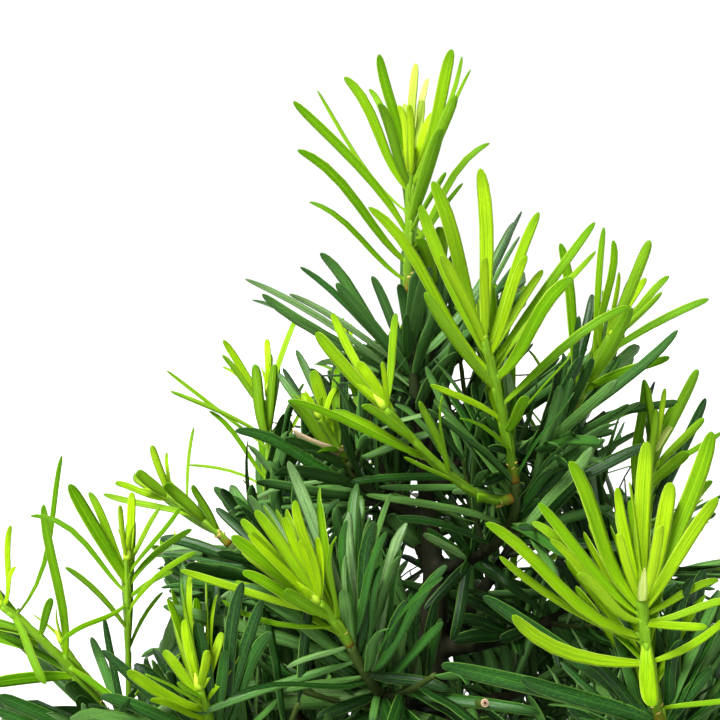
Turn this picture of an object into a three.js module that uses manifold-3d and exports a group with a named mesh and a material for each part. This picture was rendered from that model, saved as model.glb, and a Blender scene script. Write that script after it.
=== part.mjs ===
// Buddhist pine bonsai (Podocarpus macrophyllus) in a plain rectangular pot.
// Millimetres, +Z up. The origin is on the surface that the pot stands on, under the pot's middle.

import * as THREE from 'three';
import Module from 'manifold-3d';

const wasm = await Module();
wasm.setup();
const { Manifold, Mesh: SolidMesh } = wasm;
const vec = (x, y, z) => new THREE.Vector3(x, y, z);
const up = vec(0, 0, 1);
const degrees = Math.PI / 180;

// Pot
const potLength = 300;      // along X, over the lip
const potWidth = 215;       // along Y, over the lip
const potHeight = 84;
const potCorner = 24;       // corner radius of the lip
const lipHeight = 12;
const lipDepth = 5;         // how far the lip stands out over the wall
const lipWidth = 12;        // from the lip's outside to the inner wall
const potTaper = 12;        // how much further in the wall stands at its foot
const innerTaper = 8;       // how much further in the inner wall stands at the floor
const floorHeight = 15;     // top of the pot's floor
const footHeight = 7;
const footLength = 38;
const footThickness = 12;
const footInset = 2;        // from the wall's foot to the feet
const footSunk = 2;         // how far a foot reaches up into the pot
const footBevel = 6;        // how far the inner corner of a foot is filled
const lipEdge = 1.5;        // rounding of the lip's outer edge
const drainRadius = 10;
const drainSides = 16;
const drainSpacing = 130;

// Outside of the wall from its foot to the lip: share of the taper, height
const wallProfile = [
  [1.15, footHeight], [1, footHeight + 5], [0.42, footHeight + 28], [0.06, potHeight - lipHeight - 8],
  [0, potHeight - lipHeight],
];

// Screens over the drain holes
const screenSize = 34;
const screenThickness = 0.8;
const screenBars = 4;
const screenBarWidth = 1.6;

// Soil
const soilDepthBelowRim = 8;
const soilMound = 9;        // how much the soil rises towards the trunk
const soilProfile = [[1, 0], [0.8, 0.35], [0.55, 0.75], [0.3, 1]]; // share of the pot, of the mound
const soilEdgeGap = 1.2;    // from the pot's inner wall, at the soil's top
const soilFootGap = 0.6;    // the same at its floor
const contactGap = 0.3;     // between pieces that touch

// Trunk, as its middle line from below the soil to the top, with a radius at each point
const trunkLine = [
  { place: vec(0, 0, 56), radius: 21 },
  { place: vec(0, 0, 84), radius: 21.5 },
  { place: vec(3, 1, 102), radius: 17 },
  { place: vec(9, 3, 132), radius: 14.5 },
  { place: vec(10, 2, 164), radius: 12.5 },
  { place: vec(5, -1, 198), radius: 10.2 },
  { place: vec(0, -2, 234), radius: 7.6 },
  { place: vec(2, 0, 272), radius: 5.4 },
  { place: vec(1, 1, 308), radius: 3.9 },
  { place: vec(-3, 0, 338), radius: 2.8 },
];
const trunkSides = 10;
const rootSides = 6;
const rootCount = 6;
const rootReach = 52;
const rootRadius = 8;
const rootTipRadius = 2.6;
const rootProfile = [[0.12, 12], [0.42, 10.5], [0.72, 4.5], [1, -3]]; // share of reach, rise

// Branches, twigs and shoots
const limbRadius = 4.2;     // where a low branch leaves the trunk
const limbShare = 0.72;     // the most of the trunk's own radius there
const twigRadius = 2.2;     // where the wood passes into a leafy twig
const twigTipRadius = 1.8;
const shootRadius = 1.7;
const shootTipRadius = 1.1;
const limbSteps = 3;
const limbSides = 5;
const twigSteps = 2;
const shootSteps = 2;
const stemSides = 4;
const twigLength = 50;      // leafy end of a branch
const twigShare = 0.62;     // the most of a branch that is leafy
const budLength = 7;
const firstBranchHeight = 158;
const highestBranchHeight = 330;
const branchSlopes = [0.5, 0.2, 0.65, 0.35];
const branchDrop = 8;       // how much lower a branch starts than its slope says
const branchPull = 0.4;     // how far before its end a branch takes its last direction

// Leaves
const leafThickness = 1.25;
const leafClearance = 0.35; // between leaves of different stems
const ownLeafSpace = 2.2;   // between the middle lines of leaves of one stem
const leafBow = 0.04;       // how far a leaf by rule arches, as a share of its length
const goldenAngle = 137.5 * degrees;

// Leaves by rule: where they leave their stem, how far they open from it in degrees, their length
// and their width, each from the stem's start to its end. The draws are how far a leaf may differ.
const newLeafForm = {
  shares: [0.3, 0.98], open: [58, 18], openDraw: 10, length: [52, 38], lengthDraw: 10, width: [5.4, 4.6],
};
const oldLeafForm = {
  shares: [0.06, 0.92], open: [66, 40], openDraw: 14, length: 60, lengthDraw: 12, width: 5.4, widthDraw: 1.2,
};

// The square view that the near shoots are placed by: a pixel and a depth give a place.
// Depth is in millimetres behind the upright plane through the middle of the crown.
const viewMiddle = 360;
const viewScale = 0.4;      // millimetres a pixel spans on that plane
const viewDistance = 600;
const viewTilt = 5 * degrees;
const viewTarget = vec(-28, 0, 381);
const viewForward = vec(0, Math.cos(viewTilt), -Math.sin(viewTilt));
const viewUp = vec(0, Math.sin(viewTilt), Math.cos(viewTilt));

function sight([px, py, depth]) {
  const reach = viewDistance + depth;
  const across = (px - viewMiddle) * viewScale / viewDistance;
  const rise = (viewMiddle - py) * viewScale / viewDistance;
  return viewTarget.clone()
    .addScaledVector(viewForward, depth)
    .addScaledVector(vec(1, 0, 0), across * reach)
    .addScaledVector(viewUp, rise * reach);
}

// Pixel that shows a place
function seenAt(point) {
  const away = point.clone().sub(viewTarget);
  const reach = (viewDistance + away.dot(viewForward)) * viewScale / viewDistance;
  return [viewMiddle + away.x / reach, viewMiddle - away.dot(viewUp) / reach];
}

// Shoots read from the view. A stem is its start, middle and end as [px, py, depth].
// A leaf is [tip px, tip py, share of the stem below it, width, depth of the tip past its stem,
// bow], where bow is how far it arches towards the end of the stem, as a share of its length.
const seenShoots = {
  leader: {
    stem: [[409, 292, 0], [409, 235, -2], [411, 174, -4]],
    leaves: [
      [293, 101, 0.47, 3.9, -4, 0.045], [317, 90, 0.68, 1.8, 22, -0.05],
      [297, 150, 0.25, 4.1, -14, 0.03], [309, 202, 0.09, 2.5, 8, 0.03],
      [344, 77, 0.86, 4.2, 6, 0.01], [369, 89, 0.98, 2.8, 16, 0], [379, 54, 0.98, 4.2, -4, 0],
      [379, 103, 0.9, 4.2, -18, 0], [416, 63, 1, 3.5, 1, 0], [428, 78, 1, 2.8, 10, 0.01],
      [397, 106, 0.99, 2.6, -2, 0], [409, 104, 0.96, 3, -14, 0], [452, 49, 0.97, 5, -6, -0.05],
      [462, 56, 0.93, 2, 18, -0.04], [471, 69, 0.9, 1.6, 24, -0.03],
      [456, 95, 0.88, 4.5, -16, -0.01], [441, 128, 0.59, 5.2, -22, -0.03],
      [490, 143, 0.36, 3, 4, 0.05], [463, 183, 0.26, 1.9, 16, 0.03], [446, 172, 0.5, 2.2, -24, 0],
    ],
  },
  centre: {
    stem: [[515, 482, -45], [503, 418, -53], [484, 340, -64]],
    leaves: [
      [368, 207, 0.8, 4, -6, 0], [432, 181, 0.97, 5.2, -14, -0.01], [420, 205, 0.9, 4.6, 8, 0],
      [480, 168, 1, 5.2, -2, -0.02], [489, 222, 0.98, 3, 10, -0.03],
      [539, 212, 0.95, 3.8, 4, -0.01], [441, 254, 0.94, 4, -22, 0], [527, 255, 0.9, 3.4, -14, 0],
      [425, 292, 0.68, 4.2, -20, -0.03], [485, 257, 1, 3.3, -12, 0],
      [573, 278, 0.76, 5.2, -12, 0.01], [543, 270, 0.9, 3.1, 12, 0.02],
      [595, 222, 0.84, 3.5, 26, 0.01], [596, 251, 0.78, 2.3, 18, 0.04],
      [527, 396, 0.4, 4.2, -12, -0.03], [430, 385, 0.46, 2.5, 4, 0.05],
      [630, 306, 0.58, 3.5, 10, 0.06],
    ],
  },
  right: {
    stem: [[573, 410, -15], [590, 375, -18], [610, 336, -21]],
    leaves: [
      [560, 243, 0.22, 4.3, 6, 0.01], [604, 227, 0.6, 2.7, 10, 0],
      [613, 240, 0.8, 3.2, -3, -0.01], [619, 272, 0.9, 2.1, 6, 0], [650, 240, 0.92, 4.3, -8, 0],
      [646, 278, 1, 3.1, 10, -0.02], [669, 276, 0.85, 3, 2, 0.02], [662, 292, 0.8, 2.6, -10, 0],
      [709, 299, 0.7, 3.3, -4, 0.03], [670, 357, 0.2, 3.5, -12, 0.05],
      [631, 307, 0.4, 5, -18, -0.08],
    ],
  },
  far_right: {
    stem: [[640, 530, 2], [648, 490, 5], [656, 448, 8]],
    leaves: [
      [644, 379, 0.3, 4.4, 6, -0.06], [656, 409, 0.63, 3.1, -8, -0.02],
      [665, 388, 0.85, 2.4, 2, -0.02], [671, 427, 0.95, 2.7, -10, 0], [698, 369, 0.9, 4.8, -2, 0],
      [704, 418, 0.7, 3.5, -12, 0.02], [688, 452, 0.5, 4.8, -16, 0.04],
      [722, 432, 0.56, 2.5, 4, 0.03],
    ],
  },
  near_right: {
    stem: [[662, 728, -114], [648, 655, -121], [642, 602, -126]],
    leaves: [
      [569, 461, 0.93, 5.5, -4, -0.04], [647, 441, 0.97, 5.3, 8, 0],
      [712, 431, 0.93, 5.7, 8, -0.03], [671, 482, 0.97, 5.3, 2, -0.03],
      [617, 487, 0.95, 3.1, -4, -0.02], [618, 533, 0.98, 3, -16, -0.03],
      [661, 525, 0.98, 3.5, -14, -0.02], [718, 497, 0.9, 4.3, -8, 0],
      [538, 503, 0.85, 3.8, 4, -0.03], [531, 522, 0.8, 3.4, 14, -0.02],
      [550, 540, 0.78, 3.1, -14, -0.04], [485, 523, 0.66, 4.5, -2, -0.06],
      [499, 556, 0.6, 2.7, 10, -0.05], [512, 615, 0.44, 4.4, -10, -0.11],
      [577, 574, 0.8, 3.5, -20, -0.04], [707, 627, 0.76, 2.7, -14, 0],
      [719, 580, 0.86, 2.5, 6, 0.02], [735, 600, 0.8, 2.5, -2, 0],
      [728, 617, 0.45, 2.7, -6, -0.08], [651, 707, 0.62, 5.8, -18, -0.1],
      [738, 699, 0.12, 1.8, -4, 0], [645, 567, 0.99, 3.2, -22, 0],
    ],
  },
  left_back: {
    stem: [[266, 500, 50], [269, 450, 55], [268, 395, 60]],
    leaves: [
      [223, 340, 0.86, 3.6, 4, 0], [222, 355, 0.84, 2.8, -8, 0], [267, 339, 1, 3, 6, 0],
      [255, 364, 0.57, 5.2, -8, -0.05], [275, 364, 0.67, 4, -4, -0.03],
      [297, 317, 0.95, 3, 12, 0.02], [166, 370, 0.51, 1.8, 4, 0], [170, 391, 0.6, 2.1, -8, 0.03],
      [222, 367, 0.93, 1.7, 14, 0.02], [209, 411, 0.2, 2.3, -4, 0.04],
      [293, 415, 0.65, 1.9, 6, 0.04], [188, 465, 0.1, 1.6, 6, 0.08],
    ],
  },
  left_bright: {
    stem: [[350, 645, -94], [337, 624, -98], [318, 603, -105]],
    leaves: [
      [255, 510, 1, 3.8, -4, 0], [241, 519, 0.96, 3.8, 6, 0], [231, 536, 0.85, 4.8, -8, 0],
      [284, 517, 1, 3.3, 2, -0.02], [295, 500, 1, 3.4, -6, -0.03], [300, 540, 0.98, 2.5, -14, -0.02],
      [317, 537, 0.95, 2.6, -4, -0.03], [242, 572, 0.7, 3.7, -8, 0],
      [180, 570, 0.72, 2.7, 8, -0.03], [222, 600, 0.45, 1.8, 2, -0.12],
      [284, 591, 0.6, 4, -16, 0],
    ],
  },
  upper_left: {
    stem: [[230, 545, -10], [200, 518, -8], [168, 496, -4]],
    leaves: [
      [152, 445, 1, 3.1, -4, -0.02], [167, 452, 0.98, 1.8, 6, 0], [137, 471, 0.98, 4.2, -8, 0],
      [115, 483, 0.95, 2.7, 0, -0.02], [103, 494, 0.5, 2.9, 8, 0], [165, 484, 0.42, 4.6, -16, 0],
      [194, 427, 0.7, 1.5, 12, 0.03], [192, 485, 0.22, 3, -12, -0.02],
    ],
  },
  left_upright: {
    stem: [[130, 732, -62], [128, 645, -65], [127, 560, -68]],
    leaves: [
      [69, 484, 0.86, 5, -6, 0], [89, 492, 0.92, 3, 6, 0.02], [132, 492, 1, 3.1, 2, -0.02],
      [120, 505, 1, 2, -8, 0], [30, 516, 0.8, 2.1, 10, 0.1], [65, 567, 0.58, 2.6, -10, 0.05],
      [160, 508, 0.97, 1.9, 8, 0], [181, 506, 0.9, 1.9, -4, 0], [192, 529, 0.82, 2.5, 2, 0.08],
      [196, 552, 0.68, 2.1, -12, 0.08], [62, 642, 0.75, 2.1, -12, 0],
      [173, 572, 0.77, 2.1, -8, 0.05], [163, 592, 0.45, 1.5, 4, 0.1],
    ],
  },
  far_left: {
    stem: [[112, 722, -30], [62, 660, -34], [2, 606, -38]],
    leaves: [
      [62, 455, 0.9, 2.2, 4, -0.07], [44, 504, 0.48, 4.6, -10, -0.02], [52, 598, 0.7, 3.4, -6, 0],
      [11, 525, 0.98, 2.4, -4, 0], [16, 567, 1, 2.4, -10, 0], [-34, 522, 0.98, 3.4, 4, 0.02],
      [-58, 566, 0.92, 3.4, -6, 0.03], [-50, 612, 0.74, 3.4, 8, 0.03],
      [-12, 684, 0.36, 4.6, -8, 0.03], [46, 684, 0.95, 3.2, -14, 0],
      [126, 710, 0.44, 2.9, -16, 0],
    ],
  },
  lower_left: {
    stem: [[218, 738, -94], [208, 714, -98], [200, 690, -102]],
    leaves: [
      [185, 619, 1, 4, -4, -0.02], [207, 650, 1, 3.2, -12, -0.03], [163, 651, 0.9, 3.6, 2, 0],
      [127, 671, 0.6, 3.9, -8, -0.06], [222, 632, 0.98, 3.2, 8, -0.03],
      [240, 650, 0.7, 2, 2, -0.03], [150, 700, 0.4, 2.2, -12, 0], [178, 682, 0.8, 2, -18, 0],
    ],
  },
  left_centre: {
    stem: [[345, 462, -4], [332, 438, -8], [320, 418, -12]],
    leaves: [
      [288, 400, 0.15, 5, -8, -0.02], [313, 370, 0.5, 5, 4, -0.02], [322, 397, 0.9, 1.8, -14, 0],
      [336, 388, 0.95, 2.4, 8, 0], [302, 393, 0.98, 2.6, -2, 0],
    ],
  },
};

// A side shoot that leaves the old twig of the centre shoot just under its end
const lateral = {
  onTwig: 0.84,
  stem: [[440, 455, -66], [385, 408, -78]],
  leaves: [
    [316, 332, 0.98, 4.5, -4, 0], [358, 362, 0.95, 4.2, 2, 0], [396, 313, 1, 2.8, 8, -0.02],
    [382, 362, 0.98, 2.3, -10, 0], [419, 401, 0.6, 3.1, -10, -0.04], [288, 400, 0.72, 2.7, -8, 0],
    [332, 313, 1, 3.2, 10, 0.08], [404, 457, 0.5, 1.7, -6, 0],
  ],
};

// Old dark leaves read from the view, by the twig that bears them, in the same form
const seenOldLeaves = {
  leader: [
    [245, 279, 0.1, 2.7, -12, 0.045], [252, 300, 0.08, 2.2, 14, 0],
    [262, 294, 0.16, 4.3, -2, -0.02], [289, 294, 0.24, 2.7, -20, 0.03],
    [300, 267, 0.26, 2.8, 6, 0.02], [320, 253, 0.3, 4.6, 0, -0.02], [336, 283, 0.2, 4.8, -22, 0],
    [372, 276, 0.36, 4.2, -10, -0.03], [399, 284, 0.44, 4.2, -16, -0.03],
    [514, 222, 0.34, 4.6, 22, -0.06], [522, 211, 0.22, 2.3, 14, -0.06],
    [520, 236, 0.14, 2.1, 8, -0.05], [516, 263, 0.1, 2.3, 0, -0.04],
  ],
  right: [
    [592, 294, 0.86, 4.4, 6, -0.03], [678, 330, 0.3, 4.2, -16, 0],
    [629, 404, 0.2, 2.6, -24, 0.02], [593, 358, 0.8, 3.8, -12, 0], [557, 367, 0.5, 5.4, -4, 0],
    [640, 402, 0.14, 2.8, 10, 0],
  ],
  far_right: [[655, 381, 0.7, 3.4, 16, -0.04], [706, 398, 0.72, 4.8, 14, 0]],
  left_back: [[214, 487, 0.4, 4.6, -6, 0], [216, 508, 0.2, 4.6, 4, 0]],
  upper_left: [
    [160, 539, 0.8, 4.4, 4, 0.02], [163, 554, 0.66, 1.9, 12, 0.02], [185, 582, 0.5, 3.6, -8, -0.03],
    [161, 588, 0.4, 2.2, 6, 0],
  ],
  far_left: [[38, 643, 0.85, 5, 20, 0.02], [-14, 699, 0.8, 4.4, 6, 0]],
  left_centre: [
    [235, 431, 0.4, 5.6, -12, 0.02], [256, 482, 0.2, 4, -18, -0.03], [278, 373, 0.7, 3.6, 4, 0],
    [283, 368, 0.62, 3, 14, 0.02], [296, 350, 0.78, 3.8, 16, 0],
  ],
  left_bright: [[288, 461, 0.74, 4.8, -8, 0], [163, 606, 0.8, 4.4, 8, 0]],
  left_upright: [[104, 617, 0.72, 2.7, 10, 0], [91, 637, 0.75, 3.8, 20, 0]],
  lower_left: [[102, 650, 0.7, 3.9, 10, 0], [153, 648, 0.3, 4.2, 26, 0]],
};

// Ground that the crown leaves open in the view, as outlines in pixels. No leaf by rule shows there.
const openGround = [
  [
    [0, 0], [720, 0], [720, 425], [712, 432], [703, 400], [690, 402], [664, 392], [646, 376],
    [626, 400], [602, 425], [585, 434], [594, 405], [622, 375], [652, 342], [640, 318],
    [606, 328], [590, 302], [578, 300], [581, 345], [560, 352], [536, 374], [518, 392],
    [514, 372], [538, 342], [538, 302], [524, 264], [500, 280], [494, 262], [478, 292],
    [466, 288], [452, 250], [440, 225], [404, 225], [400, 285], [388, 335], [350, 345],
    [335, 360], [305, 362], [290, 390], [280, 420], [240, 428], [245, 445], [262, 474],
    [215, 486], [214, 510], [245, 530], [232, 548], [165, 536], [150, 545], [158, 585],
    [175, 612], [150, 652], [132, 655], [128, 690], [112, 712], [95, 700], [60, 664],
    [20, 625], [0, 610],
  ],
  [[0, 640], [30, 655], [60, 690], [90, 712], [0, 700]],
  [[636, 402], [640, 440], [622, 475], [612, 505], [603, 508], [606, 470], [622, 435]],
  [[658, 490], [668, 470], [700, 455], [704, 480], [690, 500], [665, 503]],
  [[694, 535], [720, 522], [720, 560], [712, 565], [698, 555]],
  [[492, 532], [512, 530], [536, 544], [540, 560], [518, 568], [500, 560]],
  [[458, 566], [474, 556], [492, 562], [500, 578], [470, 582], [458, 592]],
  [[400, 534], [420, 542], [424, 562], [408, 556]],
  [[444, 372], [462, 352], [474, 356], [470, 392], [456, 404], [444, 400]],
  [[532, 418], [552, 392], [552, 410], [540, 432]],
];

// The other branches, by the compass angle, height and distance from the trunk of the twig's end
const otherBranches = [
  { name: 'top_back', angle: 80, height: 390, reach: 26 },
  { name: 'high_back_left', angle: 118, height: 350, reach: 58 },
  { name: 'high_back_right', angle: 62, height: 356, reach: 56 },
  { name: 'middle_back_right', angle: 50, height: 324, reach: 84 },
  { name: 'middle_back', angle: 97, height: 330, reach: 80 },
  { name: 'low_right', angle: 2, height: 256, reach: 132.15 },
  { name: 'low_back_right', angle: 36, height: 266, reach: 118 },
  { name: 'low_back', angle: 70, height: 256, reach: 127.4 },
  { name: 'low_back_left', angle: 106, height: 266, reach: 120 },
  { name: 'low_left_back', angle: 140, height: 254, reach: 126 },
  { name: 'low_left', angle: 176, height: 240, reach: 132.45 },
  { name: 'low_front', angle: -86, height: 206, reach: 110 },
  { name: 'low_front_right', angle: -28, height: 238, reach: 126 },
  { name: 'base_back_right', angle: 54, height: 214, reach: 106 },
  { name: 'base_back_left', angle: 124, height: 214, reach: 108 },
];
const lowestTwigEnd = 206;
const highestTwigEnd = 390;
const lowClimb = 28 * degrees;
const highClimb = 72 * degrees;
const otherShootLength = 30;
const otherShootLeaves = 9;
const oldTwigLeaves = 8;

// Repeatable draws, each stem with its own seed
function seeded(seed) {
  let state = seed;
  return () => {
    state = (Math.imul(state, 1664525) + 1013904223) >>> 0;
    return state / 4294967296;
  };
}

// Solids

// Closed skin over rings of equal length that run round the way of travel. Each end is filled
// flat, or drawn to a point where one is given.
function skin(rings, tip, root) {
  const count = rings[0].length;
  const points = rings.flat();
  const faces = [];
  for (let level = 0; level < rings.length - 1; level++) {
    for (let k = 0; k < count; k++) {
      const a = level * count + k;
      const b = level * count + (k + 1) % count;
      faces.push(a, b, b + count, a, b + count, a + count);
    }
  }
  const last = (rings.length - 1) * count;
  for (let k = 1; k < count - 1; k++) {
    if (!root) faces.push(0, k + 1, k);
    if (!tip) faces.push(last, last + k, last + k + 1);
  }
  for (let k = 0; k < count; k++) {
    const next = (k + 1) % count;
    if (tip) faces.push(last + k, last + next, points.length);
    if (root) faces.push(next, k, points.length + (tip ? 1 : 0));
  }
  if (tip) points.push(tip);
  if (root) points.push(root);
  return new Manifold(new SolidMesh({
    numProp: 3,
    vertProperties: new Float32Array(points.flatMap((point) => point.toArray())),
    triVerts: new Uint32Array(faces),
  }));
}

// Solids joined to one body: a hollow that the join seals is filled
function fuse(solids) {
  const shells = Manifold.union(solids).decompose();
  return shells.reduce((outer, shell) => (shell.volume() > outer.volume() ? shell : outer));
}

// Ring of a rectangle with rounded corners
const cornerSteps = 3;
function boxRing(halfLength, halfWidth, corner, z) {
  const ring = [];
  [[1, 1], [-1, 1], [-1, -1], [1, -1]].forEach(([signX, signY], quarter) => {
    for (let step = 0; step <= cornerSteps; step++) {
      const turn = (quarter + step / cornerSteps) * Math.PI / 2;
      ring.push(vec(
        signX * (halfLength - corner) + corner * Math.cos(turn),
        signY * (halfWidth - corner) + corner * Math.sin(turn),
        z,
      ));
    }
  });
  return ring;
}

// Block with square corners between two heights
function block(x, y, lengthX, lengthY, low, high) {
  const ring = (z) => [[1, -1], [1, 1], [-1, 1], [-1, -1]].map(
    ([signX, signY]) => vec(x + signX * lengthX / 2, y + signY * lengthY / 2, z));
  return skin([ring(low), ring(high)]);
}

// Direction of a line at each of its points
function headings(line) {
  return line.map((_, k) => {
    const before = line[Math.max(k - 1, 0)];
    const after = line[Math.min(k + 1, line.length - 1)];
    return after.clone().sub(before).normalize();
  });
}

// Tube along a line, with a radius at each point, flat at its ends or drawn to a tip
function tube(line, radii, sides, directions = headings(line), tip = null) {
  let across = Math.abs(directions[0].z) < 0.9 ? up : vec(1, 0, 0);
  const rings = line.map((point, i) => {
    const along = directions[i];
    across = across.clone().addScaledVector(along, -across.dot(along)).normalize();
    const beside = along.clone().cross(across);
    return Array.from({ length: sides }, (_, k) => {
      const turn = 2 * Math.PI * k / sides;
      return point.clone()
        .addScaledVector(across, radii[i] * Math.cos(turn))
        .addScaledVector(beside, radii[i] * Math.sin(turn));
    });
  });
  return skin(rings, tip);
}

// Stems: a curve through a start, a pull point and an end

function bend(stem, t) {
  const s = 1 - t;
  return stem.start.clone().multiplyScalar(s * s)
    .addScaledVector(stem.pull, 2 * s * t)
    .addScaledVector(stem.end, t * t);
}

function bendDirection(stem, t) {
  return stem.pull.clone().sub(stem.start).multiplyScalar(1 - t)
    .addScaledVector(stem.end.clone().sub(stem.pull), t)
    .normalize();
}

function bendLength(stem) {
  const middle = bend(stem, 0.5);
  return stem.start.distanceTo(middle) + middle.distanceTo(stem.end);
}

// Pull point that makes the curve pass a middle point
function throughMiddle(start, middle, end) {
  const pull = middle.clone().multiplyScalar(2).addScaledVector(start, -0.5).addScaledVector(end, -0.5);
  return { start, pull, end };
}

function trunkAt(height) {
  let k = 0;
  while (k < trunkLine.length - 2 && trunkLine[k + 1].place.z < height) k++;
  const low = trunkLine[k].place;
  const high = trunkLine[k + 1].place;
  const share = Math.min((height - low.z) / (high.z - low.z), 1);
  const radius = trunkLine[k].radius + (trunkLine[k + 1].radius - trunkLine[k].radius) * share;
  return { place: low.clone().lerp(high, share), radius };
}

// Branch from the trunk to the start of a shoot, arriving in the shoot's own direction. Flat and
// steep branches take turns, so that they leave the trunk at different heights.
function branchTo(end, aim, seed) {
  const reach = Math.hypot(end.x, end.y);
  const slope = branchSlopes[seed % branchSlopes.length];
  const height = Math.min(
    Math.max(end.z - slope * reach - branchDrop, firstBranchHeight), highestBranchHeight);
  const { place: start, radius: trunkRadius } = trunkAt(height);
  const pull = end.clone().addScaledVector(aim, -branchPull * start.distanceTo(end));
  const stem = { start, pull, end };
  const length = bendLength(stem);
  return {
    ...stem,
    length,
    leafyFrom: 1 - Math.min(twigShare, twigLength / length),
    radius: Math.min(limbRadius, limbShare * trunkRadius),
  };
}

// Even steps from one value to another
function evenly(from, to, steps) {
  return Array.from({ length: steps + 1 }, (_, k) => from + (to - from) * k / steps);
}

// Tube along part of a curve, evenly tapered, whose ends stand square to the curve
function bentTube(owner, stem, { from, to, steps, radius, endRadius, sides, bud }) {
  const shares = evenly(from, to, steps);
  const line = shares.map((share) => bend(stem, share));
  const directions = shares.map((share) => bendDirection(stem, share));
  const radii = evenly(radius, endRadius, steps);
  const tip = bud ? line[steps].clone().addScaledVector(directions[steps], bud) : null;
  rods.push(...stemRods(owner, tip ? [...line, tip] : line, radii));
  return tube(line, radii, sides, directions, tip);
}

// Leaves

// What has been placed, as straight rods that no leaf of another stem may touch
const rods = [];

function rod(owner, a, b, radius, first) {
  const middle = a.clone().lerp(b, 0.5);
  return { owner, a, b, radius, middle, half: a.distanceTo(b) / 2, first };
}

function stemRods(owner, line, radii) {
  return line.slice(1).map((point, k) => rod(owner, line[k], point, radii[k], false));
}

// A leaf is narrow where it leaves its stem
function leafRods(owner, leaf) {
  const line = [0, ...leafStations.map(({ share }) => share), 1].map((share) => leafPoint(leaf, share));
  return line.slice(1).map((point, k) => (
    rod(owner, line[k], point, leaf.width * (k === 0 ? 0.25 : 0.5), k === 0)));
}

// Shortest distance between two straight rods
function rodGap(first, second) {
  const d1 = first.b.clone().sub(first.a);
  const d2 = second.b.clone().sub(second.a);
  const between = first.a.clone().sub(second.a);
  const a = d1.dot(d1);
  const e = d2.dot(d2);
  const b = d1.dot(d2);
  const c = d1.dot(between);
  const f = d2.dot(between);
  const span = a * e - b * b;
  const clamp = (value) => Math.min(Math.max(value, 0), 1);
  let s = span > 1e-9 ? clamp((b * f - c * e) / span) : 0;
  let t = (b * s + f) / e;
  if (t < 0 || t > 1) {
    t = clamp(t);
    s = clamp((b * t - c) / a);
  }
  return first.a.clone().addScaledVector(d1, s)
    .distanceTo(second.a.clone().addScaledVector(d2, t));
}

function isClear(mine) {
  return rods.every((other) => {
    const own = other.owner === mine.owner;
    if (own && (mine.first || other.first)) return true;
    const need = own ? ownLeafSpace : mine.radius + other.radius + leafClearance;
    return mine.middle.distanceTo(other.middle) > mine.half + other.half + need
      || rodGap(mine, other) >= need;
  });
}

// A leaf's middle line arches away from the straight line from its root to its tip
function leafPoint(leaf, share) {
  return leaf.root.clone().lerp(leaf.tip, share).addScaledVector(leaf.arch, 4 * share * (1 - share));
}

const leafStations = [
  { share: 0.22, width: 0.9 },
  { share: 0.7, width: 0.94 },
];
const rootSunk = 0.6;       // how far behind the middle of the stem a leaf starts

// Blade with a flat upper face and a ridge under its middle, pointed at its tip and its root
function blade(leaf) {
  const along = leaf.tip.clone().sub(leaf.root).normalize();
  const face = leaf.face.clone().addScaledVector(along, -leaf.face.dot(along)).normalize();
  const beside = along.clone().cross(face);
  const rings = leafStations.map(({ share, width }) => {
    const middle = leafPoint(leaf, share);
    const half = leaf.width * width / 2;
    return [
      middle.clone().addScaledVector(beside, half),
      middle.clone().addScaledVector(face, -leafThickness),
      middle.clone().addScaledVector(beside, -half),
    ];
  });
  const sunkRoot = leaf.root.clone().addScaledVector(along, -rootSunk);
  return skin(rings, leaf.tip, sunkRoot);
}

function leafFrom(root, tip, direction, width, bow) {
  const chord = tip.clone().sub(root);
  const length = chord.length();
  const along = chord.clone().normalize();
  const face = direction.clone().addScaledVector(along, -direction.dot(along));
  if (face.length() < 0.05) face.copy(viewForward).negate();
  face.normalize();
  return { root, tip, width, face, arch: face.clone().multiplyScalar(bow * length) };
}

function isInside([x, y], outline) {
  let inside = false;
  for (const [k, [ax, ay]] of outline.entries()) {
    const [bx, by] = outline[(k + 1) % outline.length];
    if ((ay > y) !== (by > y) && x < ax + (bx - ax) * (y - ay) / (by - ay)) inside = !inside;
  }
  return inside;
}

const openShares = [0.4, 0.7, 1];

function showsInOpenGround(leaf) {
  return openShares.some((share) => {
    const pixel = seenAt(leafPoint(leaf, share));
    return openGround.some((outline) => isInside(pixel, outline));
  });
}

// Places tried in turn for a leaf read from the view: nearer or farther, then shorter
function* seenLeafPlaces(stem, stemFrom, [px, py, share, width, lean, bow], depth) {
  const t = stemFrom + (1 - stemFrom) * share;
  const root = bend(stem, t);
  const direction = bendDirection(stem, t);
  for (const length of [1, 0.9, 0.8]) {
    for (const shift of [0, 5, -5, 10, -10, 16, -16, 24, -24]) {
      const tip = root.clone().lerp(sight([px, py, depth + lean + shift]), length);
      yield leafFrom(root, tip, direction, width, bow);
    }
  }
}

// Places tried in turn for a leaf by rule: turned round the stem, then opened, then shorter
function* ruledLeafPlaces(stem, stemFrom, rule) {
  const t = stemFrom + (1 - stemFrom) * rule.share;
  const root = bend(stem, t);
  const direction = bendDirection(stem, t);
  const side = (Math.abs(direction.z) < 0.9 ? up.clone() : vec(1, 0, 0));
  side.addScaledVector(direction, -side.dot(direction)).normalize();
  const beside = direction.clone().cross(side);
  for (const length of [1, 0.82, 0.64]) {
    for (const open of [0, 10, -10]) {
      for (const turn of [0, 14, -14, 28, -28, 42, -42]) {
        const round = rule.turn + turn * degrees;
        const lean = rule.open + open * degrees;
        const out = side.clone().multiplyScalar(Math.cos(round))
          .addScaledVector(beside, Math.sin(round));
        const tip = root.clone()
          .addScaledVector(direction, rule.length * length * Math.cos(lean))
          .addScaledVector(out, rule.length * length * Math.sin(lean));
        const leaf = leafFrom(root, tip, direction, rule.width, leafBow);
        if (!showsInOpenGround(leaf)) yield leaf;
      }
    }
  }
}

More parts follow.
